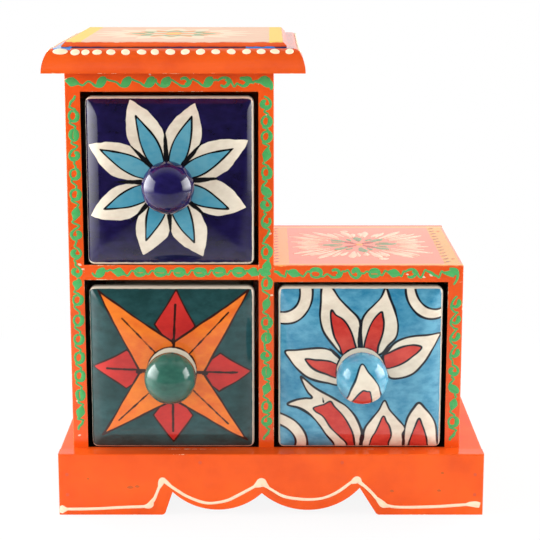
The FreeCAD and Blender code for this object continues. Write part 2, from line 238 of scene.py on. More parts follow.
def bumped(tree, shader, height, strength, distance):
    """Lets a height tilt the surface that the light falls on."""
    bump = add(tree, "ShaderNodeBump", {"Strength": strength, "Distance": distance})
    join(tree, height, bump.inputs["Height"])
    join(tree, bump.outputs[0], shader.inputs["Normal"])


FLOAT = "NodeSocketFloat"
VECTOR = "NodeSocketVector"
print("helpers ready")

# %% [markdown]
# A hand-painted edge is never a ruled line. The first group turns a distance in millimetres into a mask,
# after pushing the distance about with a little noise. The second measures how near a point is to the edges
# of a board, from the corners of the board's own box, and breaks the answer up: that is where paint rubs
# away. The third makes the streaks and blotches of a brush.

# %% Shared effects
BOX_INPUTS = [("Place", VECTOR, None), ("Low", VECTOR, None), ("High", VECTOR, None)]
WANDER_SCALE = 260.0
CHIP_SCALE = 420.0
PATCH_SCALE = 38.0
PATCHINESS = 4.0
WEAR_LIMIT = 2.35
WEAR_SHARPNESS = 9.0
BLOTCH_SCALE = 45.0


def brushed_edge_group():
    """Distance in mm, positive inside, to a mask whose edge wanders as a brush does."""
    tree, given, result = new_group(
        "brushed edge",
        [("Distance", FLOAT, 0.0), ("Place", VECTOR, None), ("Wobble", FLOAT, 0.3),
         ("Softness", FLOAT, 0.15)],
        [("Mask", FLOAT)],
    )
    wander = math_node(tree, "SUBTRACT", noise(tree, given.outputs["Place"], WANDER_SCALE, detail=3.0), 0.5)
    pushed = math_node(tree, "MULTIPLY", wander, given.outputs["Wobble"])
    distance = math_node(tree, "ADD", given.outputs["Distance"], pushed)
    shared = math_node(tree, "DIVIDE", distance, given.outputs["Softness"])
    join(tree, math_node(tree, "ADD", shared, 0.5, clamp=True), result.inputs["Mask"])
    return tree


def box_gaps(tree, given):
    """How far a point is inside the nearer faces of a box, along x, y and z."""
    place, low, high = (given.outputs[name] for name in ("Place", "Low", "High"))
    from_low = vector_node(tree, "SUBTRACT", place, low).outputs[0]
    from_high = vector_node(tree, "SUBTRACT", high, place).outputs[0]
    return parts_of(tree, vector_node(tree, "MINIMUM", from_low, from_high).outputs[0])


def edge_wear_group():
    """A broken mask along the edges of a box-shaped board, from the board's low and high corners."""
    tree, given, result = new_group(
        "edge wear", BOX_INPUTS + [("Width", FLOAT, 0.001), ("Amount", FLOAT, 0.5)], [("Mask", FLOAT)]
    )
    gaps = box_gaps(tree, given)
    smallest = over_all(tree, "MINIMUM", gaps)
    largest = over_all(tree, "MAXIMUM", gaps)
    total = over_all(tree, "ADD", gaps)
    middle = math_node(tree, "SUBTRACT", math_node(tree, "SUBTRACT", total, smallest), largest)
    near_edge = math_node(tree, "SUBTRACT", 1.0, math_node(tree, "DIVIDE", middle, given.outputs["Width"]))
    chips = noise(tree, given.outputs["Place"], CHIP_SCALE, detail=5.0, roughness=0.7)
    patches = noise(tree, given.outputs["Place"], PATCH_SCALE, detail=2.0)
    both = math_node(tree, "MULTIPLY", chips, patches)
    raised = math_node(tree, "ADD", near_edge, math_node(tree, "MULTIPLY", both, PATCHINESS))
    limit = math_node(tree, "SUBTRACT", WEAR_LIMIT, given.outputs["Amount"])
    join(tree, contrast(tree, raised, limit, WEAR_SHARPNESS), result.inputs["Mask"])
    return tree


def brush_marks_group():
    """Long soft streaks along one axis, and blotches, as a flat brush leaves them in thick paint."""
    tree, given, result = new_group(
        "brush marks", [("Place", VECTOR, None), ("Stretch", VECTOR, None)],
        [("Streaks", FLOAT), ("Blotches", FLOAT)],
    )
    stretched = vector_node(tree, "MULTIPLY", given.outputs["Place"], given.outputs["Stretch"])
    streaks = noise(tree, stretched.outputs[0], scale=1.0, detail=4.0, roughness=0.6)
    blotches = noise(tree, given.outputs["Place"], BLOTCH_SCALE, detail=4.0, roughness=0.55)
    join(tree, streaks, result.inputs["Streaks"])
    join(tree, blotches, result.inputs["Blotches"])
    return tree


BRUSHED_EDGE = brushed_edge_group()
EDGE_WEAR = edge_wear_group()
BRUSH_MARKS = brush_marks_group()


def brushed(tree, place, distance, wobble, softness):
    """The brushed-edge group placed in a material; gives its mask."""
    node = use(tree, BRUSHED_EDGE, Distance=distance, Place=place, Wobble=wobble, Softness=softness)
    return node.outputs["Mask"]


print("groups:", [group.name for group in bpy.data.node_groups])

# %% [markdown]
# The floor is a pale sheet whose colour is made darker towards the front. This is painted shade that stands
# for the dim front of the room in the glazes' reflections. To the camera it is nearly white of its own, so
# that it fades into the backdrop, and a share of ordinary shading is kept so that the chest still throws a
# soft shadow. The world is white to the camera and to reflections that look towards the backdrop, and dim
# towards the front of the room, which is what keeps the dark glazes dark.

# %% Floor and world
FLOOR_FRONT = 0.7
FLOOR_BACK = 2.4
FLOOR_SIDE = 1.6
# Each ramp below has where it starts and ends, then its values there.
# The first two ramps darken the floor's colour towards the front: painted shade for the dim front of the
# room.
FRONT_PAINTED_SHADE = (-0.62, -0.4, 0.02, 0.6)
CHEST_PAINTED_SHADE_STEP = (-0.16, -0.09, 0.0, 0.2)
WHITE_AWAY = (0.14, 0.34, 0.9, 1.0)
ROOM_TONES = (-0.35, 0.15, 0.05, 1.0)
ROOM_MEAN = (0.5, 0.5, 0.5, 1.0)
WHITE = (1.0, 1.0, 1.0, 1.0)


def floor_material():
    """Pale matt sheet that fades into a white backdrop, its colour darkened towards the front as painted
    shade.
    """
    material = bpy.data.materials.new("pale_floor")
    material.use_nodes = True
    tree = material.node_tree
    tree.nodes.clear()
    place = add(tree, "ShaderNodeTexCoord").outputs["Object"]
    depth = parts_of(tree, place)["Y"]
    # The floor's colour, darker towards the front: painted shade.
    tone = math_node(tree, "ADD", ramp(tree, depth, *FRONT_PAINTED_SHADE), ramp(tree, depth, *CHEST_PAINTED_SHADE_STEP))
    sheet = add(tree, "ShaderNodeBsdfDiffuse")
    join(tree, tone, sheet.inputs["Color"])
    white = ramp(tree, vector_node(tree, "LENGTH", place).outputs["Value"], *WHITE_AWAY)
    seen = add(tree, "ShaderNodeLightPath").outputs["Is Camera Ray"]
    blend = add(tree, "ShaderNodeMixShader")
    join(tree, math_node(tree, "MULTIPLY", seen, white), blend.inputs[0])
    join(tree, sheet.outputs[0], blend.inputs[1])
    join(tree, add(tree, "ShaderNodeEmission", {"Strength": 1.0}).outputs[0], blend.inputs[2])
    join(tree, blend.outputs[0], add(tree, "ShaderNodeOutputMaterial").inputs["Surface"])
    return material


def make_floor():
    """The floor under the chest, which reaches further back than forward."""
    bm = bmesh.new()
    bmesh.ops.create_grid(bm, x_segments=1, y_segments=1, size=0.5)
    bmesh.ops.scale(bm, vec=(2 * FLOOR_SIDE, FLOOR_FRONT + FLOOR_BACK, 1.0), verts=bm.verts)
    middle = (FLOOR_BACK - FLOOR_FRONT) / 2 + plinth_low.y
    bmesh.ops.translate(bm, vec=(0.0, middle, 0.0), verts=bm.verts)
    mesh = bpy.data.meshes.new("floor")
    bm.to_mesh(mesh)
    bm.free()
    mesh.materials.append(floor_material())
    in_scene("floor", mesh)


def make_world():
    """White to the camera and behind the chest, dim in front of it, even for the soft light."""
    world = bpy.data.worlds.new("studio")
    bpy.context.scene.world = world
    world.use_nodes = True
    tree = world.node_tree
    tree.nodes.clear()
    direction = add(tree, "ShaderNodeTexCoord").outputs["Generated"]
    towards_back = ramp(tree, parts_of(tree, direction)["Y"], *ROOM_TONES)
    ray = add(tree, "ShaderNodeLightPath").outputs
    mirror = math_node(tree, "MAXIMUM", ray["Is Glossy Ray"], ray["Is Transmission Ray"])
    seen = mixed(tree, mirror, ROOM_MEAN, towards_back)
    background = add(tree, "ShaderNodeBackground", {"Strength": 1.0})
    join(tree, mixed(tree, ray["Is Camera Ray"], seen, WHITE), background.inputs["Color"])
    join(tree, background.outputs[0], add(tree, "ShaderNodeOutputWorld").inputs["Surface"])


make_floor()
make_world()
bpy.context.scene.view_settings.view_transform = "Standard"
print("floor and world made")

# %% [markdown]
# Two wide soft boxes stand to the left and right of the chest. They matter most for glazed work: they draw
# the upright highlights on the knobs and down the rounded edges of the tiles. Each box is brightest at its
# back and top and fades towards its front and lower edges, as a lamp behind cloth does, so its reflections
# fade too. The light from the front stands for a dim room, so it is kept out of the reflections.

# %% Lamps
def soft_box(name, place, target, width, height, watts):
    """A rectangular lamp at a place, facing a target."""
    data = bpy.data.lights.new(name, "AREA")
    data.shape = "RECTANGLE"
    data.size = width
    data.size_y = height
    data.energy = watts
    lamp = in_scene(name, data)
    lamp.location = place
    lamp.rotation_euler = (Vector(target) - Vector(place)).to_track_quat("-Z", "Y").to_euler()
    return lamp


def shade_box(lamp, front_share, front_width, low_share, low_height, front_is_last):
    """Fades a lamp from a share of its strength at its front and lower edges."""
    lamp.data.use_nodes = True
    tree = lamp.data.node_tree
    across, up, _ = parts_of(tree, add(tree, "ShaderNodeNewGeometry").outputs["Parametric"])
    if front_is_last:
        across = math_node(tree, "SUBTRACT", 1.0, across)
    fades = ramp(tree, across, 0.0, front_width, front_share), ramp(tree, up, 0.0, low_height, low_share)
    join(tree, math_node(tree, "MULTIPLY", *fades), tree.nodes["Emission"].inputs["Strength"])


left_box = soft_box(
    "left_box", place=(-0.60, 0.04, 0.25), target=(0.0, 0.04, 0.25), width=0.92, height=0.5, watts=14.0
)
right_box = soft_box(
    "right_box", place=(0.62, 0.10, 0.27), target=(0.0, 0.10, 0.27), width=0.82, height=0.46, watts=10.0
)
front_fill = soft_box(
    "front_fill", place=(0.0, -1.9, 0.75), target=(0.0, 0.0, 0.11), width=1.2, height=0.9, watts=13.5
)
shade_box(left_box, front_share=0.3, front_width=0.5, low_share=0.1, low_height=0.3, front_is_last=True)
shade_box(right_box, front_share=0.4, front_width=0.3, low_share=0.1, low_height=0.3, front_is_last=False)
front_fill.visible_glossy = False
print("lamps:", [lamp.name for lamp in bpy.data.lights])

# %% [markdown]
# Every new piece goes through two functions. The first turns the faces of a bmesh outwards and makes it a
# mesh. The second smooths the shading up to a chosen angle, gives the finish, and hangs the piece on the
# body that carries it.

# %% Making a piece
SMOOTH_UP_TO = math.radians(38)


def mesh_from(name, bm):
    """Turns the faces of a bmesh outwards, makes it a mesh and frees it."""
    bmesh.ops.recalc_face_normals(bm, faces=bm.faces)
    mesh = bpy.data.meshes.new(name)
    bm.to_mesh(mesh)
    bm.free()
    return mesh


def set_piece(mesh, material, body, smooth_up_to=SMOOTH_UP_TO):
    """A finished piece from a mesh, riding on a body."""
    mesh.shade_smooth()
    mesh.set_sharp_from_angle(angle=smooth_up_to)
    mesh.materials.clear()
    mesh.materials.append(material)
    piece = in_scene(mesh.name, mesh)
    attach(piece, body)
    return piece


def carved(base, steps):
    """The mesh of a base object after joining or cutting others, which are then deleted."""
    for operation, tool in steps:
        change = base.modifiers.new(operation, "BOOLEAN")
        change.operation = operation
        change.object = tool
        change.solver = "EXACT"
    bpy.context.view_layer.update()
    settled = base.evaluated_get(bpy.context.evaluated_depsgraph_get())
    mesh = bpy.data.meshes.new_from_object(settled)
    for each in [base] + [tool for _, tool in steps]:
        bpy.data.objects.remove(each)
    return mesh


print("piece maker ready")

# %% [markdown]
# Each drawer is one ceramic casting: a pillowed square front with a tub behind it. The front starts as a
# fine grid, because the painting will be carried by its points. The grid is pushed back by the pillow's own
# profile, a shallow crown between two tighter arcs, and its border is extruded to make the sides. The tub
# is a cube with its edges bevelled and its top inset and sunk. A union makes one skin of the two, and a
# drill makes the bolt hole.

# %% Drawer body
tray_low, tray_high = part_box("upper_drawer_tray")
FRONT_HALF_WIDTH = (tray_high.x - tray_low.x) / 2
FRONT_HALF_HEIGHT = (tray_high.z - tray_low.z) / 2
PILLOW_DROP = case_front - tray_low.y
PLATE_DEPTH = 12.5 * MM
PLATE_BACK = PLATE_DEPTH - PILLOW_DROP
CROWN_RADIUS = 400.0 * MM
EDGE_RADIUS = 19.0 * MM
FRONT_CORNER = 3.0 * MM
RIM_ROUND = 1.2 * MM
GRID_CELLS = 200
GRID_CROWDING = 0.62
CREASE_SOFTNESS = 6.0


def pillow_arc(half):
    """The middle of the edge arc of the pillow, for a front that reaches half to each side."""
    rim = Vector((half, PILLOW_DROP - CROWN_RADIUS))
    span = rim.length
    inner = CROWN_RADIUS - EDGE_RADIUS
    reach = (inner**2 - EDGE_RADIUS**2 + span**2) / (2 * span)
    rise = math.sqrt(inner**2 - reach**2)
    along = rim / span
    return along * reach + Vector((along.y, -along.x)) * rise


def pillow_fall(offset, half):
    """How far the pillow has fallen back at an offset from its middle."""
    arc = pillow_arc(half)
    offset = abs(offset)
    meeting = arc.x * CROWN_RADIUS / (CROWN_RADIUS - EDGE_RADIUS)
    if offset <= meeting:
        return CROWN_RADIUS - math.sqrt(CROWN_RADIUS**2 - offset**2)
    within = min(offset - arc.x, EDGE_RADIUS)
    return CROWN_RADIUS + arc.y - math.sqrt(EDGE_RADIUS**2 - within**2)


def past_corner(x, z):
    """How far a point is past the middle of the nearest round corner, across and up."""
    return abs(x) - (FRONT_HALF_WIDTH - FRONT_CORNER), abs(z) - (FRONT_HALF_HEIGHT - FRONT_CORNER)


def corner_offset(x, z):
    """A point of a square, drawn in at the corners so that the outline has round corners."""
    past_x, past_z = past_corner(x, z)
    if past_x <= 0 or past_z <= 0:
        return x, z
    drawn_x = past_x * math.sqrt(1 - past_z**2 / (2 * FRONT_CORNER**2))
    drawn_z = past_z * math.sqrt(1 - past_x**2 / (2 * FRONT_CORNER**2))
    return (
        math.copysign(FRONT_HALF_WIDTH - FRONT_CORNER + drawn_x, x),
        math.copysign(FRONT_HALF_HEIGHT - FRONT_CORNER + drawn_z, z),
    )


def outline_gap(x, z):
    """How far a point is inside the round-cornered outline of the front."""
    past_x, past_z = past_corner(x, z)
    if past_x > 0 and past_z > 0:
        return FRONT_CORNER - math.hypot(past_x, past_z)
    return FRONT_CORNER - max(past_x, past_z)


def crowded(share):
    """A share from -1 to 1 moved outwards, so that grid lines crowd together near the edges."""
    return share * (1 - GRID_CROWDING) + GRID_CROWDING * (3 * share - share**3) / 2


def border(bm):
    """The open edges of a bmesh."""
    return [edge for edge in bm.edges if edge.is_boundary]


def front_plate():
    """The pillowed front, in its own place: its middle on the origin, its foremost point at y = -drop."""
    bm = bmesh.new()
    bmesh.ops.create_grid(bm, x_segments=GRID_CELLS, y_segments=GRID_CELLS, size=1.0)
    for vertex in bm.verts:
        x, z = corner_offset(
            crowded(vertex.co.x) * FRONT_HALF_WIDTH, crowded(vertex.co.y) * FRONT_HALF_HEIGHT
        )
        across, up = pillow_fall(x, FRONT_HALF_WIDTH), pillow_fall(z, FRONT_HALF_HEIGHT)
        fall = (across**CREASE_SOFTNESS + up**CREASE_SOFTNESS) ** (1 / CREASE_SOFTNESS)
        gap = max(0.0, min(outline_gap(x, z), RIM_ROUND))
        rim = RIM_ROUND - math.sqrt(RIM_ROUND**2 - (RIM_ROUND - gap) ** 2)
        vertex.co = (x, fall + rim - PILLOW_DROP, z)
    chamfer = 0.3 * RIM_ROUND
    for before_back, inset in ((RIM_ROUND, 0.0), (chamfer, chamfer), (0.0, RIM_ROUND)):
        grown = bmesh.ops.extrude_edge_only(bm, edges=border(bm))["geom"]
        ring = [item for item in grown if isinstance(item, bmesh.types.BMVert)]
        for vertex in ring:
            vertex.co.y = PLATE_BACK - before_back
        shrink = 1 - inset / FRONT_HALF_WIDTH
        bmesh.ops.scale(bm, vec=(shrink, 1.0, shrink), verts=ring)
    bmesh.ops.holes_fill(bm, edges=border(bm))
    return in_scene("front_plate", mesh_from("front_plate", bm))


TUB_INSET = 1.6 * MM
TUB_HEIGHT = 66.0 * MM
TUB_WALL = 5.0 * MM
TUB_CORNER = 8.0 * MM
TUB_FOOT = 2.5 * MM
CAVITY_FLOOR_ROUND = 4.0 * MM
TUB_RIM_ROUND = 1.6 * MM
TUB_LIFT = 0.1 * MM
LEVEL_WITH = 0.01 * MM
MERGED = 0.001 * MM


def edges_at(bm, height):
    """The edges that lie level at a height."""
    return [edge for edge in bm.edges if all(abs(end.co.z - height) < LEVEL_WITH for end in edge.verts)]


def bevelled(bm, edges, offset, segments):
    """Rounds edges of a bmesh, with the profile and limits always given."""
    bmesh.ops.bevel(
        bm, geom=edges, offset=offset, segments=segments, profile=0.5, affect="EDGES", material=-1,
        clamp_overlap=True,
    )


def tub():
    """The open tub behind the front; its front wall is sunk in the front plate."""
    bm = bmesh.new()
    bmesh.ops.create_cube(bm, size=1.0)
    width = 2 * (FRONT_HALF_WIDTH - TUB_INSET)
    back = tray_high.y - case_front
    front = PLATE_BACK - TUB_WALL
    bottom = TUB_LIFT - FRONT_HALF_HEIGHT
    top = TUB_HEIGHT - FRONT_HALF_HEIGHT
    bmesh.ops.scale(bm, vec=(width, back - front, top - bottom), verts=bm.verts)
    bmesh.ops.translate(bm, vec=(0.0, (front + back) / 2, (top + bottom) / 2), verts=bm.verts)
    upright = [edge for edge in bm.edges if abs(edge.verts[0].co.z - edge.verts[1].co.z) > TUB_WALL]
    at_back = [edge for edge in upright if edge.verts[0].co.y > (front + back) / 2]
    bevelled(bm, at_back, TUB_CORNER, segments=10)
    upper = max(bm.faces, key=lambda face: face.calc_center_median().z)
    bmesh.ops.inset_region(bm, faces=[upper], thickness=TUB_WALL, use_even_offset=True)
    sunk = bmesh.ops.extrude_discrete_faces(bm, faces=[upper])["faces"][0]
    bmesh.ops.translate(bm, vec=(0.0, 0.0, TUB_WALL - (top - bottom)), verts=sunk.verts)
    bmesh.ops.remove_doubles(bm, verts=bm.verts, dist=MERGED)
    bevelled(bm, edges_at(bm, bottom + TUB_WALL), CAVITY_FLOOR_ROUND, segments=6)
    bevelled(bm, edges_at(bm, bottom), TUB_FOOT, segments=4)
    bevelled(bm, edges_at(bm, top), TUB_RIM_ROUND, segments=5)
    return in_scene("tub", mesh_from("tub", bm))


BOLT_HOLE = 2.4 * MM
TO_THE_FRONT = Matrix.Rotation(math.pi / 2, 3, "X")


def bolt_drill():
    """A rod that cuts the bolt hole through the front."""
    bm = bmesh.new()
    bmesh.ops.create_cone(
        bm, cap_ends=True, segments=32, radius1=BOLT_HOLE, radius2=BOLT_HOLE, depth=4 * PLATE_DEPTH
    )
    bmesh.ops.rotate(bm, cent=(0, 0, 0), matrix=TO_THE_FRONT, verts=bm.verts)
    return in_scene("drill", mesh_from("drill", bm))


drawer_mesh = carved(front_plate(), [("UNION", tub()), ("DIFFERENCE", bolt_drill())])
print("drawer body:", len(drawer_mesh.vertices), "points,", len(drawer_mesh.polygons), "faces")

# %% [markdown]
# The tiles are painted by hand with flowers and stars of a kind that many workshops share. Each painted
# shape is a small function that says how deep inside the shape a point is, in millimetres. The answers are
# stored on the points of the grid as attributes, and the glaze reads them. An edge stays crisp between two
# points because the depth changes evenly there, and one brush stroke is one line of code.

# %% Painted shapes
def distance_to_line(at, start, end):
    """How far each point is from a straight stroke."""
    start, end = np.array(start, float), np.array(end, float)
    along = np.clip(((at - start) @ (end - start)) / ((end - start) @ (end - start)), 0, 1)
    return np.hypot(*(at - start - along[:, None] * (end - start)).T)


def petal(at, root, tip, width, belly=0.55, roundness=1.0):
    """Depth inside a petal from its root to its tip, widest at the share of its length called belly."""
    root, tip = np.array(root, float), np.array(tip, float)
    axis = tip - root
    length = math.hypot(*axis)
    along = ((at - root) @ axis) / length**2
    across = np.abs((at - root) @ np.array([axis[1], -axis[0]])) / length
    power = math.log(0.5) / math.log(belly)
    swell = np.sin(math.pi * np.clip(along, 0, 1) ** power) ** roundness
    beyond = np.maximum(0, np.abs(along - 0.5) - 0.5) * length
    return width / 2 * swell - across - beyond


def many_sided(at, corners):
    """Depth inside a shape with straight sides, from its corners in order."""
    corners = np.array(corners, float)
    nearest = np.full(len(at), 1e9)
    inside = np.zeros(len(at), bool)
    for start, end in zip(corners, np.roll(corners, -1, axis=0)):
        nearest = np.minimum(nearest, distance_to_line(at, start, end))
        spans = (start[1] > at[:, 1]) != (end[1] > at[:, 1])
        rise = end[1] - start[1]
        crossing = start[0] + (at[:, 1] - start[1]) / (rise if rise else 1e-9) * (end[0] - start[0])
        inside ^= spans & (at[:, 0] < crossing)
    return np.where(inside, nearest, -nearest)


def between(before, here, after, later, share):
    """A point on the smooth curve from one point to the next, from their neighbours too."""
    return 0.5 * (
        2 * here + (after - before) * share + (2 * before - 5 * here + 4 * after - later) * share**2
        + (3 * here - before - 3 * after + later) * share**3
    )


def rounded(corners, steps=8):
    """A smooth closed line through a few points."""
    corners = [np.array(corner, float) for corner in corners]
    line = []
    for index in range(len(corners)):
        four = [corners[(index + shift) % len(corners)] for shift in (-1, 0, 1, 2)]
        line += [between(*four, step / steps) for step in range(steps)]
    return line


def around(centre, angle, reach):
    """The point at an angle in degrees and a reach from a centre."""
    turn = math.radians(angle)
    return centre[0] + reach * math.cos(turn), centre[1] + reach * math.sin(turn)


def together(*depths):
    """Depth inside the nearest of several shapes."""
    return np.maximum.reduce(depths)


BARE_RINGS = {"upper_drawer": 9.0, "lower_drawer": 11.1, "side_drawer": 11.0}
SEAT_LINE_OUT = 0.3
SEAT_LINE_HALF = 0.35


def seat_line(at, drawer):
    """Depth inside the dark line round the bare ring of a knob's seat."""
    return SEAT_LINE_HALF - np.abs(np.hypot(*at.T) - BARE_RINGS[drawer] - SEAT_LINE_OUT)


def tapered_stroke(at, start, end, thickness):
    """Depth inside a stroke that starts thick and ends thin."""
    return petal(at, start, end, thickness, belly=0.34, roundness=0.8)


print("shapes ready")

# %% [markdown]
# The upper tile has one big flower: eight pointed cream petals on navy, each with a narrow turquoise petal
# inside, and dark wedges in the gaps. Every petal has its own reach and its heart leans its own way,
# because no two are alike.

# %% Upper tile: the eight-petalled flower
FLOWER_CENTRE = (-0.8, 0.6)
# For each petal: its angle and reach, then the angle and reach of its heart.
FLOWER_PETALS = [
    (27, 40.5, 27, 33.3), (70.5, 37.4, 69.4, 31.6), (114.7, 40.7, 115.2, 33), (155.3, 39.4, 154.4, 33.7),
    (204.4, 39, 203.3, 31.7), (251, 35.6, 249.2, 28.9), (294.2, 38, 292.8, 30.4), (341.1, 37.4, 335.8, 30),
]
PETAL_ROOT = 5
PETAL_WIDTH = 15.8
HEART_ROOT = 3
HEART_WIDTH = 8.0
WEDGE_FROM = 7
WEDGE_TO = 24.5
WEDGE_WIDTH = 2.3


def flower_tile(at):
    """Depths of the cream, the turquoise and the dark strokes of the upper tile."""

    def out(angle, reach):
        return around(FLOWER_CENTRE, angle, reach)

    cream, inner, ink = [], [], []
    next_angles = [each[0] for each in FLOWER_PETALS[1:]] + [FLOWER_PETALS[0][0] + 360]
    for (angle, reach, heart_angle, heart_reach), next_angle in zip(FLOWER_PETALS, next_angles):
        cream.append(
            petal(at, out(angle, PETAL_ROOT), out(angle, reach), PETAL_WIDTH, belly=0.5, roundness=0.95)
        )
        heart = out(heart_angle, HEART_ROOT), out(heart_angle, heart_reach)
        inner.append(petal(at, *heart, HEART_WIDTH, belly=0.44))
        gap = (angle + next_angle) / 2
        ink.append(tapered_stroke(at, out(gap, WEDGE_FROM), out(gap, WEDGE_TO), WEDGE_WIDTH))
    return together(*cream), together(*inner), together(*ink)


# %% [markdown]
# The lower left tile has a four-pointed orange star laid over four red petals, all ruled with dark lines. A
# star arm is two straight edges from the notches to the tip. A ring of bare cream shows round the seat of
# the knob.

# %% Lower left tile: the star
STAR_CENTRE = (0.6, 0.2)
STAR_NOTCHES = [(0.9, 13.6), (14.6, -1.0), (0.8, -13.6), (-14.6, -0.4)]
STAR_TIPS = [(35.4, 37.2), (34.9, -34.5), (-32.8, -31.4), (-33.8, 37.2)]
RED_TIPS = [(2.2, 37.4), (36.4, -1.2), (0.2, -35.2), (-36.2, 1.2)]
STAR_RIB_SHARES = (0.74, 0.74, 0.76, 0.67)
STAR_RIB_HALF = 0.38
RED_FOOT_REACH = 9
RED_SHOULDER_REACH = 21.5
RED_SHOULDER_HALF = 9.3
RED_RIB_SHARE = 0.83
RED_RIB_HALF = 0.5
NOTCH_MARK_SHARE = 1.08
NOTCH_MARK_HALF = 0.95


def red_petal(at, tip):
    """A kite with its foot in a notch of the star."""
    centre = np.array(STAR_CENTRE)
    axis = (np.array(tip) - centre) / math.hypot(*(np.array(tip) - centre))
    aside = np.array([axis[1], -axis[0]]) * RED_SHOULDER_HALF
    foot = centre + axis * RED_FOOT_REACH
    shoulder = centre + axis * RED_SHOULDER_REACH
    return many_sided(at, [foot, shoulder + aside, tip, shoulder - aside])


def star_tile(at):
    """Depths of the orange, the red and the dark lines of the lower left tile."""

    def rule(half, start, end, share):
        return half - distance_to_line(at, start, np.array(end) * share)

    next_notches = STAR_NOTCHES[1:] + STAR_NOTCHES[:1]
    arms = zip(STAR_NOTCHES, STAR_TIPS, next_notches)
    star = together(*(many_sided(at, [STAR_CENTRE, *corners]) for corners in arms))
    reds = [np.minimum(red_petal(at, tip), -star) for tip in RED_TIPS]
    ink = [rule(RED_RIB_HALF, STAR_CENTRE, tip, RED_RIB_SHARE) for tip in RED_TIPS]
    ink += [rule(STAR_RIB_HALF, STAR_CENTRE, tip, share) for tip, share in zip(STAR_TIPS, STAR_RIB_SHARES)]
    ink += [rule(NOTCH_MARK_HALF, notch, notch, NOTCH_MARK_SHARE) for notch in STAR_NOTCHES]
    return star, together(*reds), together(*ink, seat_line(at, "lower_drawer"))


# %% [markdown]
# The lower right tile is looser: cream petals with red hearts fan out above the knob, a hooked leaf and two
# petals rise from the lower edge, and quarter rings sit in three corners.

# %% Lower right tile: the loose petals
LOOSE_PETALS = [
    [(-17.6, 37.5), (-18.5, 30.4), (-18.8, 23.4), (-17.4, 17.4), (-13.7, 12.2), (-8.3, 6.6), (-2.0, 6.1),
     (-0.6, 12.2), (-0.2, 19.1), (-1.3, 23.6), (-5.3, 27.8), (-9.9, 32.1), (-14.1, 37.3)],
    [(11.5, 37.1), (8.8, 32.8), (5.5, 29.5), (2.2, 26.0), (0.3, 22.4), (-0.1, 17.4), (0.5, 11.3), (1.3, 6.1),
     (8.8, 6.6), (12.6, 10.9), (15.9, 14.8), (16.7, 20.0), (15.5, 26.5), (13.4, 32.1)],
    [(37.4, 15.7), (31.4, 15.5), (24.7, 15.1), (19.3, 13.8), (14.9, 11.2), (10.5, 6.1), (11.4, 0.1),
     (13.4, -4.7), (18.9, -4.8), (24.3, -2.7), (28.9, 1.8), (32.6, 7.4), (35.6, 12.2)],
    [(-34.9, 7.2), (-29.5, 8.4), (-23.3, 9.3), (-18.3, 9.4), (-14.1, 8.3), (-10.8, 5.3), (-8.7, 1.8),
     (-9.5, -7.3), (-15.4, -7.1), (-20.8, -6.2), (-25.8, -3.8), (-30.0, -0.1), (-32.9, 3.5)],
    [(-27.5, -4.2), (-22.0, -8.7), (-16.2, -12.2), (-11.2, -15.1), (-6.6, -18.1), (-2.8, -22.4),
     (-0.2, -27.6), (0.9, -32.8), (1.2, -42.3), (-10.4, -42.3), (-12.4, -37.5), (-15.5, -32.8),
     (-19.4, -27.2), (-23.9, -22.2), (-28.7, -19.4), (-33.7, -18.3), (-30.0, -15.7), (-25.8, -14.6),
     (-22.5, -14.3), (-24.5, -11.6), (-26.4, -7.7)],
    [(11.2, -15.5), (8.7, -20.2), (5.1, -24.8), (2.3, -29.2), (1.8, -33.7), (2.2, -42.3), (21.0, -42.3),
     (20.7, -37.5), (19.7, -32.4), (20.7, -28.9), (16.8, -24.3), (13.4, -20.2)],
    [(27.2, -16.7), (24.3, -19.8), (22.0, -24.1), (21.0, -28.9), (20.7, -33.7), (21.2, -42.3), (36.0, -42.3),
     (36.4, -35.4), (35.4, -28.5), (33.3, -23.7), (30.4, -19.8)],
]
LOOSE_HEARTS = [
    [(-13.7, 27.1), (-13.9, 21.7), (-12.7, 15.7), (-9.9, 10.5), (-7.8, 5.7), (-2.0, 5.7), (-3.3, 13.1),
     (-5.3, 18.7), (-8.3, 23.0), (-11.6, 25.0)],
    [(9.3, 26.5), (6.8, 24.3), (4.3, 20.4), (2.6, 15.7), (1.5, 10.5), (1.5, 6.1), (6.8, 6.1), (8.0, 10.5),
     (9.7, 15.7), (10.3, 20.8), (9.8, 24.3)],
    [(28.0, 9.8), (24.7, 10.9), (21.0, 10.5), (17.2, 9.2), (13.4, 7.4), (9.7, 5.3), (11.4, 0.1), (16.4, 0.8),
     (20.5, 2.7), (23.9, 5.3), (26.4, 7.4)],
    [(-25.8, 4.0), (-23.3, 0.5), (-20.4, -1.6), (-16.2, -2.9), (-9.9, -4.7), (-9.1, 0.1), (-12.9, 2.7),
     (-17.0, 3.7), (-21.2, 4.0), (-24.1, 4.4)],
    [(-21.9, -19.1), (-18.9, -17.9), (-17.0, -17.4), (-13.9, -15.9), (-11.9, -18.5), (-7.8, -23.4),
     (-4.5, -29.5), (-2.7, -35.4), (-2.2, -42.3), (-5.3, -42.3), (-6.2, -37.5), (-9.3, -33.5), (-13.7, -28.5),
     (-17.4, -23.4), (-20.8, -21.1)],
    [(10.7, -23.4), (8.8, -27.6), (7.2, -31.5), (5.5, -35.4), (5.1, -42.3), (13.0, -42.3), (13.4, -37.1),
     (14.3, -32.8), (13.4, -28.5), (11.9, -25.9)],
    [(27.4, -24.4), (25.5, -28.5), (23.9, -33.7), (23.0, -38.0), (23.0, -42.3), (31.8, -42.3), (31.6, -37.1),
     (30.4, -31.9), (28.9, -27.6)],
]
# For each dark wedge: where it starts and ends, and its width.
PETAL_INKS = [
    ((-0.8, 7.4), (-0.8, 21.3), 1.7),
    ((-9.0, 4.2), (-15.0, 10.0), 1.7),
    ((9.7, 6.0), (16.4, 12.9), 1.9),
    ((0.5, -42.3), (1.1, -28.5), 2.0),
    ((20.7, -42.3), (20.4, -29.5), 1.2),
    ((-17.0, -17.0), (-17.6, -13.6), 0.8),
]
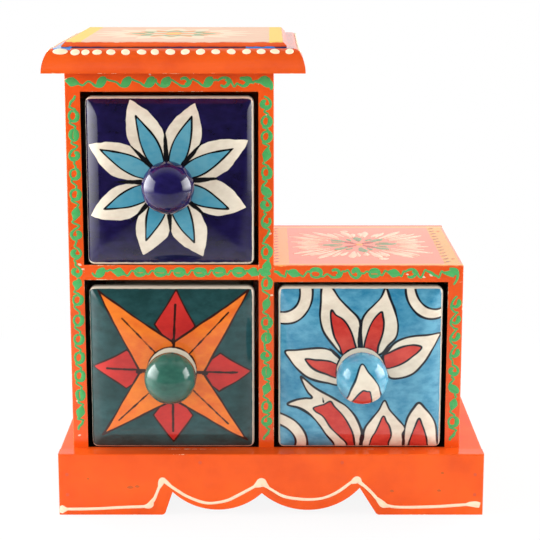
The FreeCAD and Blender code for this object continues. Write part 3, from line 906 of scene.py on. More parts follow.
# For each ring: its middle, and its inner and outer radius.
RINGS = [((-37.3, 36.2), 9.4, 14.9), ((34.7, 38.3), 9.6, 14.4), ((-38.0, -35.6), 8.2, 13.6)]
PETALS_UP = 1.4


def ring(at, centre, inner, outer):
    """Depth inside a round band."""
    return (outer - inner) / 2 - np.abs(np.hypot(*(at - np.array(centre)).T) - (outer + inner) / 2)


def petal_tile(at):
    """Depths of the cream, the red and the dark lines of the lower right tile."""
    raised = at - np.array([0.0, PETALS_UP])
    cream = [many_sided(raised, rounded(corners)) for corners in LOOSE_PETALS]
    cream += [ring(at, centre, inner, outer) for centre, inner, outer in RINGS]
    hearts = [many_sided(raised, rounded(corners)) for corners in LOOSE_HEARTS]
    ink = [tapered_stroke(raised, start, end, thickness) for start, end, thickness in PETAL_INKS]
    return together(*cream), together(*hearts), together(*ink, seat_line(at, "side_drawer"))


print("tile paintings ready")

# %% [markdown]
# One recipe serves all the glazed ware. The ground colour varies as a wash does, the painted shapes lie
# over it, their outlines and the ink lie over those, and near the rim the glaze thins and stops, so that
# the cream body shows. The outlines come from the depths themselves: a line is wherever the depth is nearly
# nought. The surface is glass over clay, smooth with a faint orange-peel.

# %% Glazes
CREAM = colour(232, 222, 203)
CREAM_SHADE = colour(214, 200, 180)
BODY_CREAM = colour(222, 210, 190)
PAINTED_SETS = ("first", "second", "ink")
# The scale of each unsteadiness of the hand, and how far it reaches in mm.
HAND_WANDER = (62.0, 1.2)
HAND_TREMOR = (190.0, 1.0)
HAND_PRESSURE = (110.0, 0.7)
FILL_SOFTNESS = 0.22
LINE_SOFTNESS = 0.3
RAGGED_LINED = 0.3
RAGGED_BARE = 1.4


def hand_drawn_group():
    """Depth in mm inside a painted shape, to its fill and its outline, both wandering as a hand does."""
    tree, given, result = new_group(
        "hand drawn",
        [("Depth", FLOAT, 0.0), ("Place", VECTOR, None), ("Line", FLOAT, 0.8),
         ("Ragged", FLOAT, RAGGED_LINED)],
        [("Fill", FLOAT), ("Outline", FLOAT)],
    )

    def shift(scale, reach):
        cloud = noise(tree, given.outputs["Place"], scale, detail=1.0)
        return math_node(tree, "MULTIPLY", math_node(tree, "SUBTRACT", cloud, 0.5), reach)

    def edge(depth, softness):
        return math_node(tree, "ADD", math_node(tree, "DIVIDE", depth, softness), 0.5, clamp=True)

    drawn = math_node(tree, "ADD", given.outputs["Depth"], shift(*HAND_WANDER))
    tremor = math_node(tree, "MULTIPLY", shift(*HAND_TREMOR), given.outputs["Ragged"])
    join(tree, edge(math_node(tree, "ADD", drawn, tremor), FILL_SOFTNESS), result.inputs["Fill"])
    pressure = math_node(tree, "ADD", shift(*HAND_PRESSURE), 0.5)
    weight = math_node(tree, "MULTIPLY", given.outputs["Line"], pressure)
    inside = math_node(tree, "SUBTRACT", weight, math_node(tree, "ABSOLUTE", drawn))
    join(tree, edge(inside, LINE_SOFTNESS), result.inputs["Outline"])
    return tree


HAND_DRAWN = hand_drawn_group()
WASH_STRETCH = (150.0, 150.0, 260.0)
WASH_LEVEL = 0.14
WASH_GAIN = 5.0
GLAZE_WOBBLE = 0.9
INK_SOFTNESS = 0.3
RIM_SOFTNESS = 0.35
BARE_ROUGHNESS = 0.32
GLAZED_ROUGHNESS = 0.07
PEEL_SCALE = 150.0


def glaze(name, ground, wash, first=None, second=None, ink=None, outlines=(0.0, 0.0)):
    """Glossy painted glaze. First and second are pairs of tones for the two sets of painted shapes."""
    material, tree, shader, place = new_finish(name)

    def stored(attribute):
        return add(tree, "ShaderNodeAttribute", attribute_name=attribute).outputs["Fac"]

    marks = use(tree, BRUSH_MARKS, Place=place, Stretch=WASH_STRETCH).outputs
    washed = math_node(tree, "MULTIPLY", marks["Blotches"], marks["Streaks"])
    pooled = contrast(tree, washed, WASH_LEVEL, WASH_GAIN)
    surface = mixed(tree, pooled, ground, wash)
    dark = 0.0
    for attribute, tones, thickness in zip(PAINTED_SETS, (first, second), outlines):
        if tones is None:
            continue
        ragged = RAGGED_LINED if thickness else RAGGED_BARE
        drawn = use(tree, HAND_DRAWN, Depth=stored(attribute), Place=place, Line=thickness, Ragged=ragged)
        surface = mixed(tree, drawn.outputs["Fill"], surface, mixed(tree, pooled, *tones))
        if thickness:
            dark = math_node(tree, "MAXIMUM", drawn.outputs["Outline"], dark)
    if ink:
        strokes = brushed(tree, place, stored("ink"), GLAZE_WOBBLE, INK_SOFTNESS)
        surface = mixed(tree, math_node(tree, "MAXIMUM", strokes, dark), surface, ink)
    rim = brushed(tree, place, stored("glazed"), GLAZE_WOBBLE, RIM_SOFTNESS)
    join(tree, mixed(tree, rim, BODY_CREAM, surface), shader.inputs["Base Color"])
    dull = scaled(tree, rim, GLAZED_ROUGHNESS - BARE_ROUGHNESS, BARE_ROUGHNESS)
    join(tree, dull, shader.inputs["Roughness"])
    bumped(tree, shader, noise(tree, place, PEEL_SCALE, detail=2.0), strength=0.06, distance=0.0006)
    return material


NAVY = (colour(18, 13, 46), colour(28, 22, 68))
GREEN = (colour(26, 58, 58), colour(38, 76, 78))
TURQUOISE = (colour(46, 122, 156), colour(96, 162, 188))
CREAMS = (CREAM, CREAM_SHADE)
PETAL_BLUES = (colour(66, 142, 168), colour(94, 156, 174))
ORANGES = (colour(236, 128, 44), colour(224, 106, 42))
REDS = (colour(198, 50, 44), colour(178, 42, 40))
PALE_REDS = (colour(208, 74, 62), colour(188, 52, 46))
GLAZES = {
    "upper_drawer": glaze(
        "navy_glaze", *NAVY, CREAMS, PETAL_BLUES, ink=colour(18, 18, 20), outlines=(0.0, 0.85)
    ),
    "lower_drawer": glaze(
        "green_glaze", *GREEN, ORANGES, REDS, ink=colour(50, 26, 22), outlines=(0.9, 0.8)
    ),
    "side_drawer": glaze(
        "turquoise_glaze", *TURQUOISE, CREAMS, PALE_REDS, ink=colour(30, 32, 38), outlines=(1.0, 0.85)
    ),
}
PAINTINGS = {"upper_drawer": flower_tile, "lower_drawer": star_tile, "side_drawer": petal_tile}
DRAWERS = list(PAINTINGS)
print("glazes:", [material.name for material in GLAZES.values()])

# %% [markdown]
# Now the three drawers are set in place. Only the front is painted and coloured: a point counts as glazed
# while it is on the front, inside the rim and outside the bare ring round the knob's seat. The rest of the
# casting is bare cream. Each drawer says how far from its left, right, lower and upper edges the glaze
# stops; a negative stop lets it run over the edge.

# %% Drawers
UNPAINTED = -50.0
FRONT_ENDS = 0.4 * MM
FADES_FROM = -1.0
FADE_RATE = 1.2
CORNER_STOP = -1.2
# Where the glaze stops, in mm from the left, right, lower and upper edge.
GLAZE_STOPS = {
    "upper_drawer": (-1.5, 0.7, 1.3, 0.6),
    "lower_drawer": (-1.5, 0.8, 0.8, 0.6),
    "side_drawer": (0.5, 0.7, 0.8, 0.5),
}


def glazed_depth(co, drawer):
    """How far inside the coloured glaze a point is, in mm."""
    if co.y > FRONT_ENDS:
        return UNPAINTED
    left, right, lower, upper = GLAZE_STOPS[drawer]
    over_edge = max(0.0, co.y / MM - FADES_FROM) * FADE_RATE
    sides = (
        (FRONT_HALF_WIDTH + co.x) / MM - left, (FRONT_HALF_WIDTH - co.x) / MM - right,
        (FRONT_HALF_HEIGHT + co.z) / MM - lower, (FRONT_HALF_HEIGHT - co.z) / MM - upper,
    )
    from_seat = math.hypot(co.x, co.z) / MM - BARE_RINGS[drawer]
    from_corner = outline_gap(co.x, co.z) / MM - CORNER_STOP
    return min(*sides, from_corner, from_seat) - over_edge


def store(mesh, name, values):
    """Keeps one value for each point of a mesh."""
    attribute = mesh.attributes.new(name, "FLOAT", "POINT")
    attribute.data.foreach_set("value", np.asarray(values, np.float32))


def middle_at(node, y):
    """The middle of a node's box as seen from the front, brought to a y."""
    low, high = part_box(node)
    return Vector(((low.x + high.x) / 2, y, (low.z + high.z) / 2))


def front_view(points):
    """Where points are as seen from the front, in mm."""
    return np.array([(point.co.x / MM, point.co.z / MM) for point in points])


def make_drawer(drawer):
    """One painted drawer, in the place of its plain casting."""
    mesh = drawer_mesh.copy()
    mesh.name = drawer + "_casting"
    for name, depth in zip(PAINTED_SETS, PAINTINGS[drawer](front_view(mesh.vertices))):
        store(mesh, name, depth)
    store(mesh, "glazed", [glazed_depth(vertex.co, drawer) for vertex in mesh.vertices])
    mesh.transform(Matrix.Translation(middle_at(drawer + "_tray", case_front)))
    piece = set_piece(mesh, GLAZES[drawer], drawer)
    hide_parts(drawer + "_tray")
    return piece


for drawer in DRAWERS:
    print(make_drawer(drawer).name, "painted and set in place")

# %% [markdown]
# A knob is thrown as one ball on a short neck and a flat foot. Its profile is a chain of points in a plane,
# and one full spin turns it into the solid. The chain starts in the bolt hole, so that the knob is hollow
# where the bolt goes in.

# %% Knobs
KNOB_RADIUS = 11.8 * MM
KNOB_OUT = 12.0 * MM
KNOB_FOOT = 8.2 * MM
KNOB_FOOT_HEIGHT = 0.9 * MM
KNOB_FOOT_ROUND = (0.2 * MM, 0.25 * MM)
KNOB_FOOT_SLOPE = (0.35 * MM, 0.3 * MM)
KNOB_NECK = 7.0 * MM
KNOB_NECK_FLARE = (0.25 * MM, 0.2 * MM)
KNOB_NECK_END = 0.3 * MM
KNOB_BORE = 2.0 * MM
KNOB_BORE_DEPTH = 11.0 * MM
KNOB_ARC_STEPS = 48
KNOB_TURN_STEPS = 96
KNOB_GLAZE_FROM = 1.1
SPUN_MERGED = 0.0001 * MM
KNOB_PETAL = [
    (-0.8, 8.6), (2.2, 5.4), (5.4, 1.6), (7.4, -3.0), (7.4, -12.5), (-6.2, -12.5), (-6.0, -4.4), (-3.8, 2.4),
]
KNOB_HEART = [(-0.6, -2.6), (1.6, -2.8), (3.4, -4.0), (3.4, -12.8), (-5.0, -12.8), (-3.4, -6.6)]


def knob_profile():
    """The knob's half outline as (radius, height) from the bore to the tip."""
    start = -math.acos(KNOB_NECK / KNOB_RADIUS)
    neck_height = KNOB_OUT + KNOB_RADIUS * math.sin(start)
    chain = [
        (0.0, KNOB_BORE_DEPTH), (KNOB_BORE, KNOB_BORE_DEPTH), (KNOB_BORE, 0.0),
        (KNOB_FOOT - KNOB_FOOT_ROUND[0], 0.0), (KNOB_FOOT, KNOB_FOOT_ROUND[1]),
        (KNOB_FOOT, KNOB_FOOT_HEIGHT - KNOB_FOOT_SLOPE[1]),
        (KNOB_FOOT - KNOB_FOOT_SLOPE[0], KNOB_FOOT_HEIGHT),
        (KNOB_NECK + KNOB_NECK_FLARE[0], KNOB_FOOT_HEIGHT + KNOB_NECK_FLARE[1]),
        (KNOB_NECK, neck_height - KNOB_NECK_END),
    ]
    for step in range(1, KNOB_ARC_STEPS):
        turn = start + (math.pi / 2 - start) * step / KNOB_ARC_STEPS
        chain.append((KNOB_RADIUS * math.cos(turn), KNOB_OUT + KNOB_RADIUS * math.sin(turn)))
    return chain + [(0.0, KNOB_OUT + KNOB_RADIUS)]


def knob_painting(at, facing):
    """A cream petal with a red heart, on the outer half of the turquoise knob only."""
    behind = facing < KNOB_OUT / MM
    shapes = [np.where(behind, UNPAINTED, many_sided(at, rounded(each))) for each in (KNOB_PETAL, KNOB_HEART)]
    return *shapes, np.full(len(at), UNPAINTED)


def make_knob(drawer):
    """One glazed knob on the front of its drawer."""
    bm = bmesh.new()
    chain = [bm.verts.new((radius, 0.0, height)) for radius, height in knob_profile()]
    edges = [bm.edges.new(pair) for pair in zip(chain, chain[1:])]
    bmesh.ops.spin(
        bm, geom=chain + edges, cent=(0, 0, 0), axis=(0, 0, 1), dvec=(0, 0, 0), angle=2 * math.pi,
        steps=KNOB_TURN_STEPS, use_merge=True, use_duplicate=False,
    )
    bmesh.ops.remove_doubles(bm, verts=bm.verts, dist=SPUN_MERGED)
    bmesh.ops.rotate(bm, cent=(0, 0, 0), matrix=TO_THE_FRONT, verts=bm.verts)
    at = front_view(bm.verts)
    facing = np.array([-vertex.co.y / MM for vertex in bm.verts])
    node = drawer + "_knob"
    bmesh.ops.translate(bm, vec=middle_at(node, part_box(node)[1].y), verts=bm.verts)
    mesh = mesh_from(drawer + "_glazed_knob", bm)
    knob = set_piece(mesh, KNOB_GLAZES[drawer], drawer)
    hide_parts(node)
    for name, depth in zip(PAINTED_SETS, knob_painting(at, facing)):
        store(knob.data, name, depth)
    store(knob.data, "glazed", facing - KNOB_GLAZE_FROM)
    return knob


KNOB_GLAZES = {
    "upper_drawer": glaze("navy_knob_glaze", colour(20, 14, 58), colour(32, 26, 82)),
    "lower_drawer": glaze("green_knob_glaze", colour(38, 80, 70), colour(54, 102, 88)),
    "side_drawer": glaze(
        "turquoise_knob_glaze", colour(66, 138, 168), colour(112, 178, 200), CREAMS, PALE_REDS,
        ink=colour(30, 50, 62), outlines=(0.8, 0.8),
    ),
}
for drawer in DRAWERS:
    print(make_knob(drawer).name, "turned")

# %% [markdown]
# The boards keep their own solids, because their shape is right. Their finish is thick glossy paint over
# primer: the tone drifts, the brush leaves low ridges along each board, and the corners have lost some
# paint. Each board gives its own corners to the wear, so that the worn edges are its real ones. Inside the
# drawer openings the boards are coloured near black, as painted shade of the deep recesses, and the
# opening's own box says where that is. The plinth is a little duller than the case.

# %% Painted boards
ORANGE = colour(240, 92, 24)
ORANGE_DEEP = colour(216, 72, 22)
PRIMER = colour(240, 196, 150)
OPENING_PAINTED_SHADE = colour(22, 16, 16)
GRAIN_ALONG = {"x": (14.0, 320.0, 320.0), "y": (320.0, 14.0, 320.0), "z": (320.0, 320.0, 14.0)}


def inside_box_group():
    """How far inside a box a point is, in mm, from the box's corners."""
    tree, given, result = new_group("inside box", BOX_INPUTS, [("Distance", FLOAT)])
    least = over_all(tree, "MINIMUM", box_gaps(tree, given))
    join(tree, math_node(tree, "DIVIDE", least, MM), result.inputs["Distance"])
    return tree


def rosette_group():
    """How far inside a flower with round petals a point is, in mm, seen from above."""
    tree, given, result = new_group(
        "rosette",
        [("Place", VECTOR, None), ("Centre", VECTOR, None), ("Reach", FLOAT, 10.0), ("Swing", FLOAT, 3.0),
         ("Petals", FLOAT, 8.0)],
        [("Distance", FLOAT)],
    )
    offset = vector_node(tree, "SUBTRACT", given.outputs["Place"], given.outputs["Centre"])
    x, y, _ = parts_of(tree, offset.outputs[0])
    turn = math_node(tree, "ARCTAN2", y, x)
    wave = math_node(tree, "COSINE", math_node(tree, "MULTIPLY", turn, given.outputs["Petals"]))
    swing = math_node(tree, "MULTIPLY", wave, given.outputs["Swing"])
    edge = math_node(tree, "ADD", given.outputs["Reach"], swing)
    level = add(tree, "ShaderNodeCombineXYZ")
    join(tree, x, level.inputs["X"])
    join(tree, y, level.inputs["Y"])
    reach = vector_node(tree, "LENGTH", level.outputs[0]).outputs["Value"]
    inside = math_node(tree, "SUBTRACT", edge, math_node(tree, "DIVIDE", reach, MM))
    join(tree, inside, result.inputs["Distance"])
    return tree


INSIDE_BOX = inside_box_group()
ROSETTE = rosette_group()
left_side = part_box("tower_left_side")
right_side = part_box("tower_right_side")
low_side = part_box("step_right_side")
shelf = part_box("tower_shelf")
top_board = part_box("tower_top_board")
OPENINGS = [
    ((left_side[1].x, shelf[1].z), (right_side[0].x, top_board[0].z)),
    ((left_side[1].x, case_floor), (right_side[0].x, shelf[0].z)),
    ((right_side[1].x, case_floor), (low_side[0].x, step_low.z)),
]
OPENING_SHADE_OVERLAP = 0.3 * MM
OPENING_SHADE_FROM_FRONT = 0.5 * MM
AREA_WOBBLE = 0.6
LOOSE_WOBBLE = 1.4
AREA_SOFTNESS = 0.25


def area_mask(tree, place, low, high, wobble=AREA_WOBBLE):
    """A brushed mask that is 1 inside a box."""
    depth = use(tree, INSIDE_BOX, Place=place, Low=low, High=high).outputs["Distance"]
    return brushed(tree, place, depth, wobble, AREA_SOFTNESS)


def painted_area(tree, place, surface, tone, low, high, wobble=AREA_WOBBLE):
    """The surface colour with a tone laid over it inside a box."""
    return mixed(tree, area_mask(tree, place, low, high, wobble), surface, tone)


def with_opening_shade(tree, place, surface):
    """The surface colour with painted shade, near black, over the insides of the openings."""
    for (x_low, z_low), (x_high, z_high) in OPENINGS:
        low = (x_low - OPENING_SHADE_OVERLAP, case_front + OPENING_SHADE_FROM_FRONT, z_low - OPENING_SHADE_OVERLAP)
        high = (x_high + OPENING_SHADE_OVERLAP, case_high.y, z_high + OPENING_SHADE_OVERLAP)
        surface = painted_area(tree, place, surface, OPENING_PAINTED_SHADE, low, high)
    return surface


PAINT_IOR = 1.5
DEEP_LEVEL = 0.38
DEEP_GAIN = 2.2
WEAR_AMOUNT = 0.2
WEAR_WIDTH = 0.7 * MM
PAINT_ROUGHNESS = 0.1
STREAK_ROUGHNESS = 0.14
WORN_ROUGHNESS = 0.5
HANDLED_ROUGHNESS = 0.45


def painted_wood(node, along, inside=False, extra=None, handled=None, specular=0.5):
    """Glossy orange paint for one board, worn along its own edges. Handled masks where the gloss is gone."""
    low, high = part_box(node)
    material, tree, shader, place = new_finish("paint_" + node)
    shader.inputs["IOR"].default_value = PAINT_IOR
    shader.inputs["Specular IOR Level"].default_value = specular
    marks = use(tree, BRUSH_MARKS, Place=place, Stretch=GRAIN_ALONG[along]).outputs
    surface = mixed(tree, contrast(tree, marks["Blotches"], DEEP_LEVEL, DEEP_GAIN), ORANGE, ORANGE_DEEP)
    if extra:
        surface = extra(tree, place, surface)
    worn = use(tree, EDGE_WEAR, Place=place, Low=low, High=high, Width=WEAR_WIDTH, Amount=WEAR_AMOUNT)
    worn = worn.outputs["Mask"]
    surface = mixed(tree, worn, surface, PRIMER)
    # Near black over the insides of the openings: painted shade.
    if inside:
        surface = with_opening_shade(tree, place, surface)
    join(tree, surface, shader.inputs["Base Color"])
    dull = scaled(tree, marks["Streaks"], STREAK_ROUGHNESS, PAINT_ROUGHNESS)
    dull = scaled(tree, worn, WORN_ROUGHNESS, dull)
    if handled:
        dull = scaled(tree, handled(tree, place), HANDLED_ROUGHNESS, dull)
    join(tree, dull, shader.inputs["Roughness"])
    height = math_node(tree, "SUBTRACT", marks["Streaks"], worn)
    bumped(tree, shader, height, strength=0.2, distance=0.0005)
    return material


def finish_node(node, material):
    """Gives a node that keeps its own solid a new finish."""
    mesh = frame["nodes"][node].data
    mesh.materials.clear()
    mesh.materials.append(material)


BOARDS = {
    "front_apron": "x", "back_apron": "x", "left_apron": "y", "right_apron": "y", "bottom_board": "x",
    "tower_left_side": "z", "tower_right_side": "z", "step_right_side": "z", "tower_shelf": "x",
    "tower_top_board": "x", "back_panel": "z",
}
NOT_BY_AN_OPENING = ("front_apron", "back_apron", "left_apron", "right_apron", "back_panel")
DULLER_BOARDS = {
    "front_apron": 0.25, "back_apron": 0.1, "left_apron": 0.1, "right_apron": 0.1, "bottom_board": 0.1,
}
for node, along in BOARDS.items():
    # Boards beside an opening take painted shade, near black, inside it.
    inside = node not in NOT_BY_AN_OPENING
    finish_node(node, painted_wood(node, along, inside=inside, specular=DULLER_BOARDS.get(node, 0.5)))
print(len(BOARDS), "boards painted")

# %% [markdown]
# The lid and the step have painted tops. The lid's narrow ledge is dark blue in front and light blue on the
# left. Its field is laid pale peach and cream, a painted sheen that stands for the backdrop's reflection on
# the orange paint, with a yellow band at each end and a faint flower in the middle, and hands have dulled
# it. The step's top is laid pale pink, a painted sheen of the same kind, with ochre bands at its ends and a
# paler line along its front and back edges. All of it is laid out from the boxes of the two boards.

# %% Painted tops
YELLOW = colour(250, 212, 112)
OCHRE = colour(234, 170, 60)
EDGE_YELLOW = colour(250, 176, 96)
LEDGE_BLUE = colour(60, 140, 214)
LEDGE_DARK = colour(58, 56, 100)
LEDGE_BROWN = colour(120, 62, 60)
FIELD_PAINTED_SHEEN = colour(240, 178, 150)
FLOWER_CREAM = colour(246, 224, 196)
FLOWER_GREEN = colour(160, 178, 136)
FLOWER_ORANGE = colour(244, 164, 112)
STEP_TOP_PAINTED_SHEEN = colour(238, 138, 104)
FAR = 1.0
JUST_UNDER = 0.5 * MM
FIELD_INSET = 8.4 * MM
FIELD_SIDE_EDGE = 1.8 * MM
FIELD_FRONT_EDGE = 1.2 * MM
FIELD_BANDS = (7.0 * MM, 6.0 * MM)
FIELD_MIDDLE = ((lid_low.x + lid_high.x) / 2 - 3 * MM, (lid_low.y + lid_high.y) / 2, 0.0)
# For each layer of the field's flower: reach, swing and number of petals, and its tone.
FIELD_LAYERS = [
    (33.0, 5.0, 16.0, FLOWER_CREAM), (20.0, 4.0, 16.0, FLOWER_ORANGE), (17.0, 3.4, 8.0, FLOWER_GREEN),
    (12.0, 2.0, 8.0, FLOWER_CREAM), (8.6, 2.6, 4.0, FLOWER_ORANGE), (4.0, 0.3, 6.0, YELLOW),
]
LEDGE_INSET = 5.2 * MM
LEDGE_Z = lid_high.z - 2.9 * MM
LEDGE_BROWN_LEVEL = 0.42
LEDGE_BROWN_GAIN = 5.0
LID_STREAKS = (90.0, 300.0, 300.0)
HANDLED_DEPTH = 0.3 * MM
LEFT_BLUE_WIDTH = 4.5 * MM
TOUCHED_FROM_RIGHT = (26.5 * MM, 13.5 * MM)


def ledge_painting(tree, place, surface, marks):
    """The blues of the ledge round the lid's field."""
    low_z, high_z = LEDGE_Z - JUST_UNDER, LEDGE_Z + JUST_UNDER
    left, front = lid_low.x + LEDGE_INSET, lid_low.y + LEDGE_INSET
    front_end = lid_low.y + FIELD_INSET + JUST_UNDER
    patchy = contrast(tree, marks["Blotches"], LEDGE_BROWN_LEVEL, LEDGE_BROWN_GAIN)
    dark = mixed(tree, patchy, LEDGE_BROWN, LEDGE_DARK)
    surface = painted_area(
        tree, place, surface, dark, (left, front, low_z), (lid_high.x - LEDGE_INSET, front_end, high_z)
    )
    left_end = lid_low.x + FIELD_INSET + LEFT_BLUE_WIDTH
    start, end = (lid_high.x - from_right for from_right in TOUCHED_FROM_RIGHT)
    blues = [
        ((left, -FAR, low_z), (left_end, FAR, high_z)), ((start, front, low_z), (end, front_end, high_z)),
    ]
    for low, high in blues:
        surface = painted_area(tree, place, surface, LEDGE_BLUE, low, high, LOOSE_WOBBLE)
    return surface


def lid_painting(tree, place, surface):
    """Blue ledge, a field of painted sheen, yellow bands and a layered flower on the lid."""
    marks = use(tree, BRUSH_MARKS, Place=place, Stretch=LID_STREAKS).outputs
    surface = ledge_painting(tree, place, surface, marks)
    top = lid_high.z - JUST_UNDER
    edge = Vector((FIELD_INSET + FIELD_SIDE_EDGE, FIELD_INSET + FIELD_FRONT_EDGE, 0.0))
    low, high = lid_low + edge, lid_high - edge
    field = area_mask(tree, place, (low.x, low.y, top), (high.x, high.y, FAR), wobble=0.8)
    # The field is laid pale peach and cream: painted sheen standing for reflection on the orange paint.
    surface = mixed(tree, field, surface, mixed(tree, marks["Streaks"], FIELD_PAINTED_SHEEN, FLOWER_CREAM))
    for start, end in ((low.x, low.x + FIELD_BANDS[0]), (high.x - FIELD_BANDS[1], high.x)):
        corners = (start, low.y, top), (end, high.y, FAR)
        surface = painted_area(tree, place, surface, YELLOW, *corners, LOOSE_WOBBLE)
    for reach, swing, petals, tone in FIELD_LAYERS:
        depth = use(tree, ROSETTE, Place=place, Centre=FIELD_MIDDLE, Reach=reach, Swing=swing, Petals=petals)
        petals_mask = brushed(tree, place, depth.outputs["Distance"], wobble=2.0, softness=0.4)
        surface = mixed(tree, math_node(tree, "MULTIPLY", petals_mask, field), surface, tone)
    return surface


def lid_field(tree, place):
    """The flat top of the lid, dulled by hands."""
    return area_mask(tree, place, (-FAR, -FAR, lid_high.z - HANDLED_DEPTH), (FAR, FAR, FAR))


STEP_BANDS = [
    (step_low.x, step_low.x + 7 * MM), (step_high.x - 8.5 * MM, step_high.x - 1.2 * MM),
]
STEP_EDGE_LINES = [
    (step_low.y + 0.3 * MM, step_low.y + 2.8 * MM), (step_high.y - 4 * MM, step_high.y - 0.5 * MM),
]
STEP_BANDS_IN = 1.0 * MM
STEP_PAINT_DEPTH = 0.4 * MM


def step_painting(tree, place, surface):
    """Pale pink painted sheen over the step's top, yellow bands at its ends, and a line along its front and
    back edges.
    """
    top = step_high.z - STEP_PAINT_DEPTH
    # Pale pink over the whole top: painted sheen standing for reflection on the orange paint.
    surface = painted_area(tree, place, surface, STEP_TOP_PAINTED_SHEEN, (-FAR, -FAR, top), (FAR, FAR, FAR))
    for start, end in STEP_BANDS:
        corners = (start, step_low.y + STEP_BANDS_IN, top), (end, FAR, FAR)
        surface = painted_area(tree, place, surface, OCHRE, *corners, LOOSE_WOBBLE)
    for start, end in STEP_EDGE_LINES:
        corners = (step_low.x, start, top), (step_high.x, end, FAR)
        surface = painted_area(tree, place, surface, EDGE_YELLOW, *corners, LOOSE_WOBBLE)
    return surface


finish_node("lid", painted_wood("lid", "x", extra=lid_painting, handled=lid_field))
# The step board takes painted shade, near black, inside the side opening.
finish_node("step_top_board", painted_wood("step_top_board", "x", inside=True, extra=step_painting))
print("tops painted")

# %% [markdown]
# Steel is left for last among the finishes. The bolts, washers and nuts inside the drawers are bright zinc
# plate. The nails are dull wire, but their heads were painted over with the boards, so the paint mask asks
# how near a point is to the outer faces of the boards that hold them.

# %% Steel
STEEL_STREAKS = (900.0, 900.0, 900.0)
STEEL_UNEVENNESS = 0.25
PAINTED_HEADS = 0.3


def steel(name, bright, dull, roughness, painted_boxes=()):
    """Bare metal whose tone and gloss vary, with orange paint near the faces of the boxes given."""
    material, tree, shader, place = new_finish(name)
    streaks = use(tree, BRUSH_MARKS, Place=place, Stretch=STEEL_STREAKS).outputs["Streaks"]
    surface = mixed(tree, streaks, bright, dull)
    shader.inputs["Metallic"].default_value = 1.0
    paint = 0.0
    for low, high in painted_boxes:
        depth = use(tree, INSIDE_BOX, Place=place, Low=low, High=high).outputs["Distance"]
        near = math_node(tree, "SUBTRACT", PAINTED_HEADS, math_node(tree, "ABSOLUTE", depth))
        paint = math_node(tree, "MAXIMUM", brushed(tree, place, near, wobble=0.1, softness=0.1), paint)
    if painted_boxes:
        surface = mixed(tree, paint, surface, ORANGE_DEEP)
        join(tree, math_node(tree, "SUBTRACT", 1.0, paint), shader.inputs["Metallic"])
    join(tree, surface, shader.inputs["Base Color"])
    join(tree, scaled(tree, streaks, STEEL_UNEVENNESS, roughness), shader.inputs["Roughness"])
    return material


back_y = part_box("back_panel")[1].y
PAINTED_BOXES = [
    (plinth_low, Vector((plinth_high.x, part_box("back_apron")[1].y, plinth_high.z))),
    (case_low, Vector((right_side[1].x, back_y, FAR))),
    (Vector((-FAR, case_front, 0.0)), Vector((step_high.x, back_y, step_high.z))),
]
NAIL_STEEL = steel("nail_wire", colour(140, 136, 132), colour(104, 84, 70), 0.35, PAINTED_BOXES)
BRIGHT_STEEL = steel("zinc_plate", colour(214, 214, 218), colour(172, 174, 180), roughness=0.16)
for node in ("plinth_nails", "bottom_nails", "case_nails", "lid_nails", "back_panel_tacks"):
    finish_node(node, NAIL_STEEL)
for drawer in DRAWERS:
    for part in ("knob_stud", "knob_washer", "knob_nut"):
        finish_node(f"{drawer}_{part}", BRIGHT_STEEL)
print("steel finished")

# %% [markdown]
# The ornament stands a little proud, because it is thick enamel laid on with a fine brush. A brush stroke
# is a short line of points, each with the half-width of the brush there. One function turns any number of
# strokes into closed, rounded ribbons: it smooths each line, lets a curve sweep a round section along it,
# and flattens the result to the height of the paint. A matrix lays the flat drawing on a board.

# %% Brush strokes
ENAMEL_HEIGHT = 0.28
STROKE_SOFTNESS = math.radians(70)
STROKE_CROWN = 0.32
THINNEST = 0.12
RIGHT = Vector((1, 0, 0))
UP = Vector((0, 0, 1))
DOWN = Vector((0, 0, -1))
TO_FRONT = Vector((0, -1, 0))
TO_BACK = Vector((0, 1, 0))


def smooth_line(points, steps=5):
    """A smooth open line through points of two places and a half-width."""
    points = [np.array(point, float) for point in points]
    if len(points) < 3:
        return points
    padded = [2 * points[0] - points[1]] + points + [2 * points[-1] - points[-2]]
    line = []
    for index in range(1, len(points)):
        line += [between(*padded[index - 1:index + 3], step / steps) for step in range(steps)]
    return line + [points[-1]]


ENAMEL_STREAKS = (420.0, 420.0, 420.0)


def enamel(name, tone, shade):
    """Glossy brushed enamel of one colour, thinner and darker in places."""
    material, tree, shader, place = new_finish(name)
    marks = use(tree, BRUSH_MARKS, Place=place, Stretch=ENAMEL_STREAKS).outputs
    join(tree, mixed(tree, marks["Streaks"], tone, shade), shader.inputs["Base Color"])
    join(tree, scaled(tree, marks["Blotches"], factor=0.2, start=0.16), shader.inputs["Roughness"])
    return material


def lay(origin, along, across, outwards):
    """The matrix that lays a flat drawing in mm on a surface: its first axis along, its second across."""
    turn = Matrix((along, across, outwards)).transposed().to_4x4()
    return Matrix.Translation(origin) @ turn @ Matrix.Scale(MM, 4)


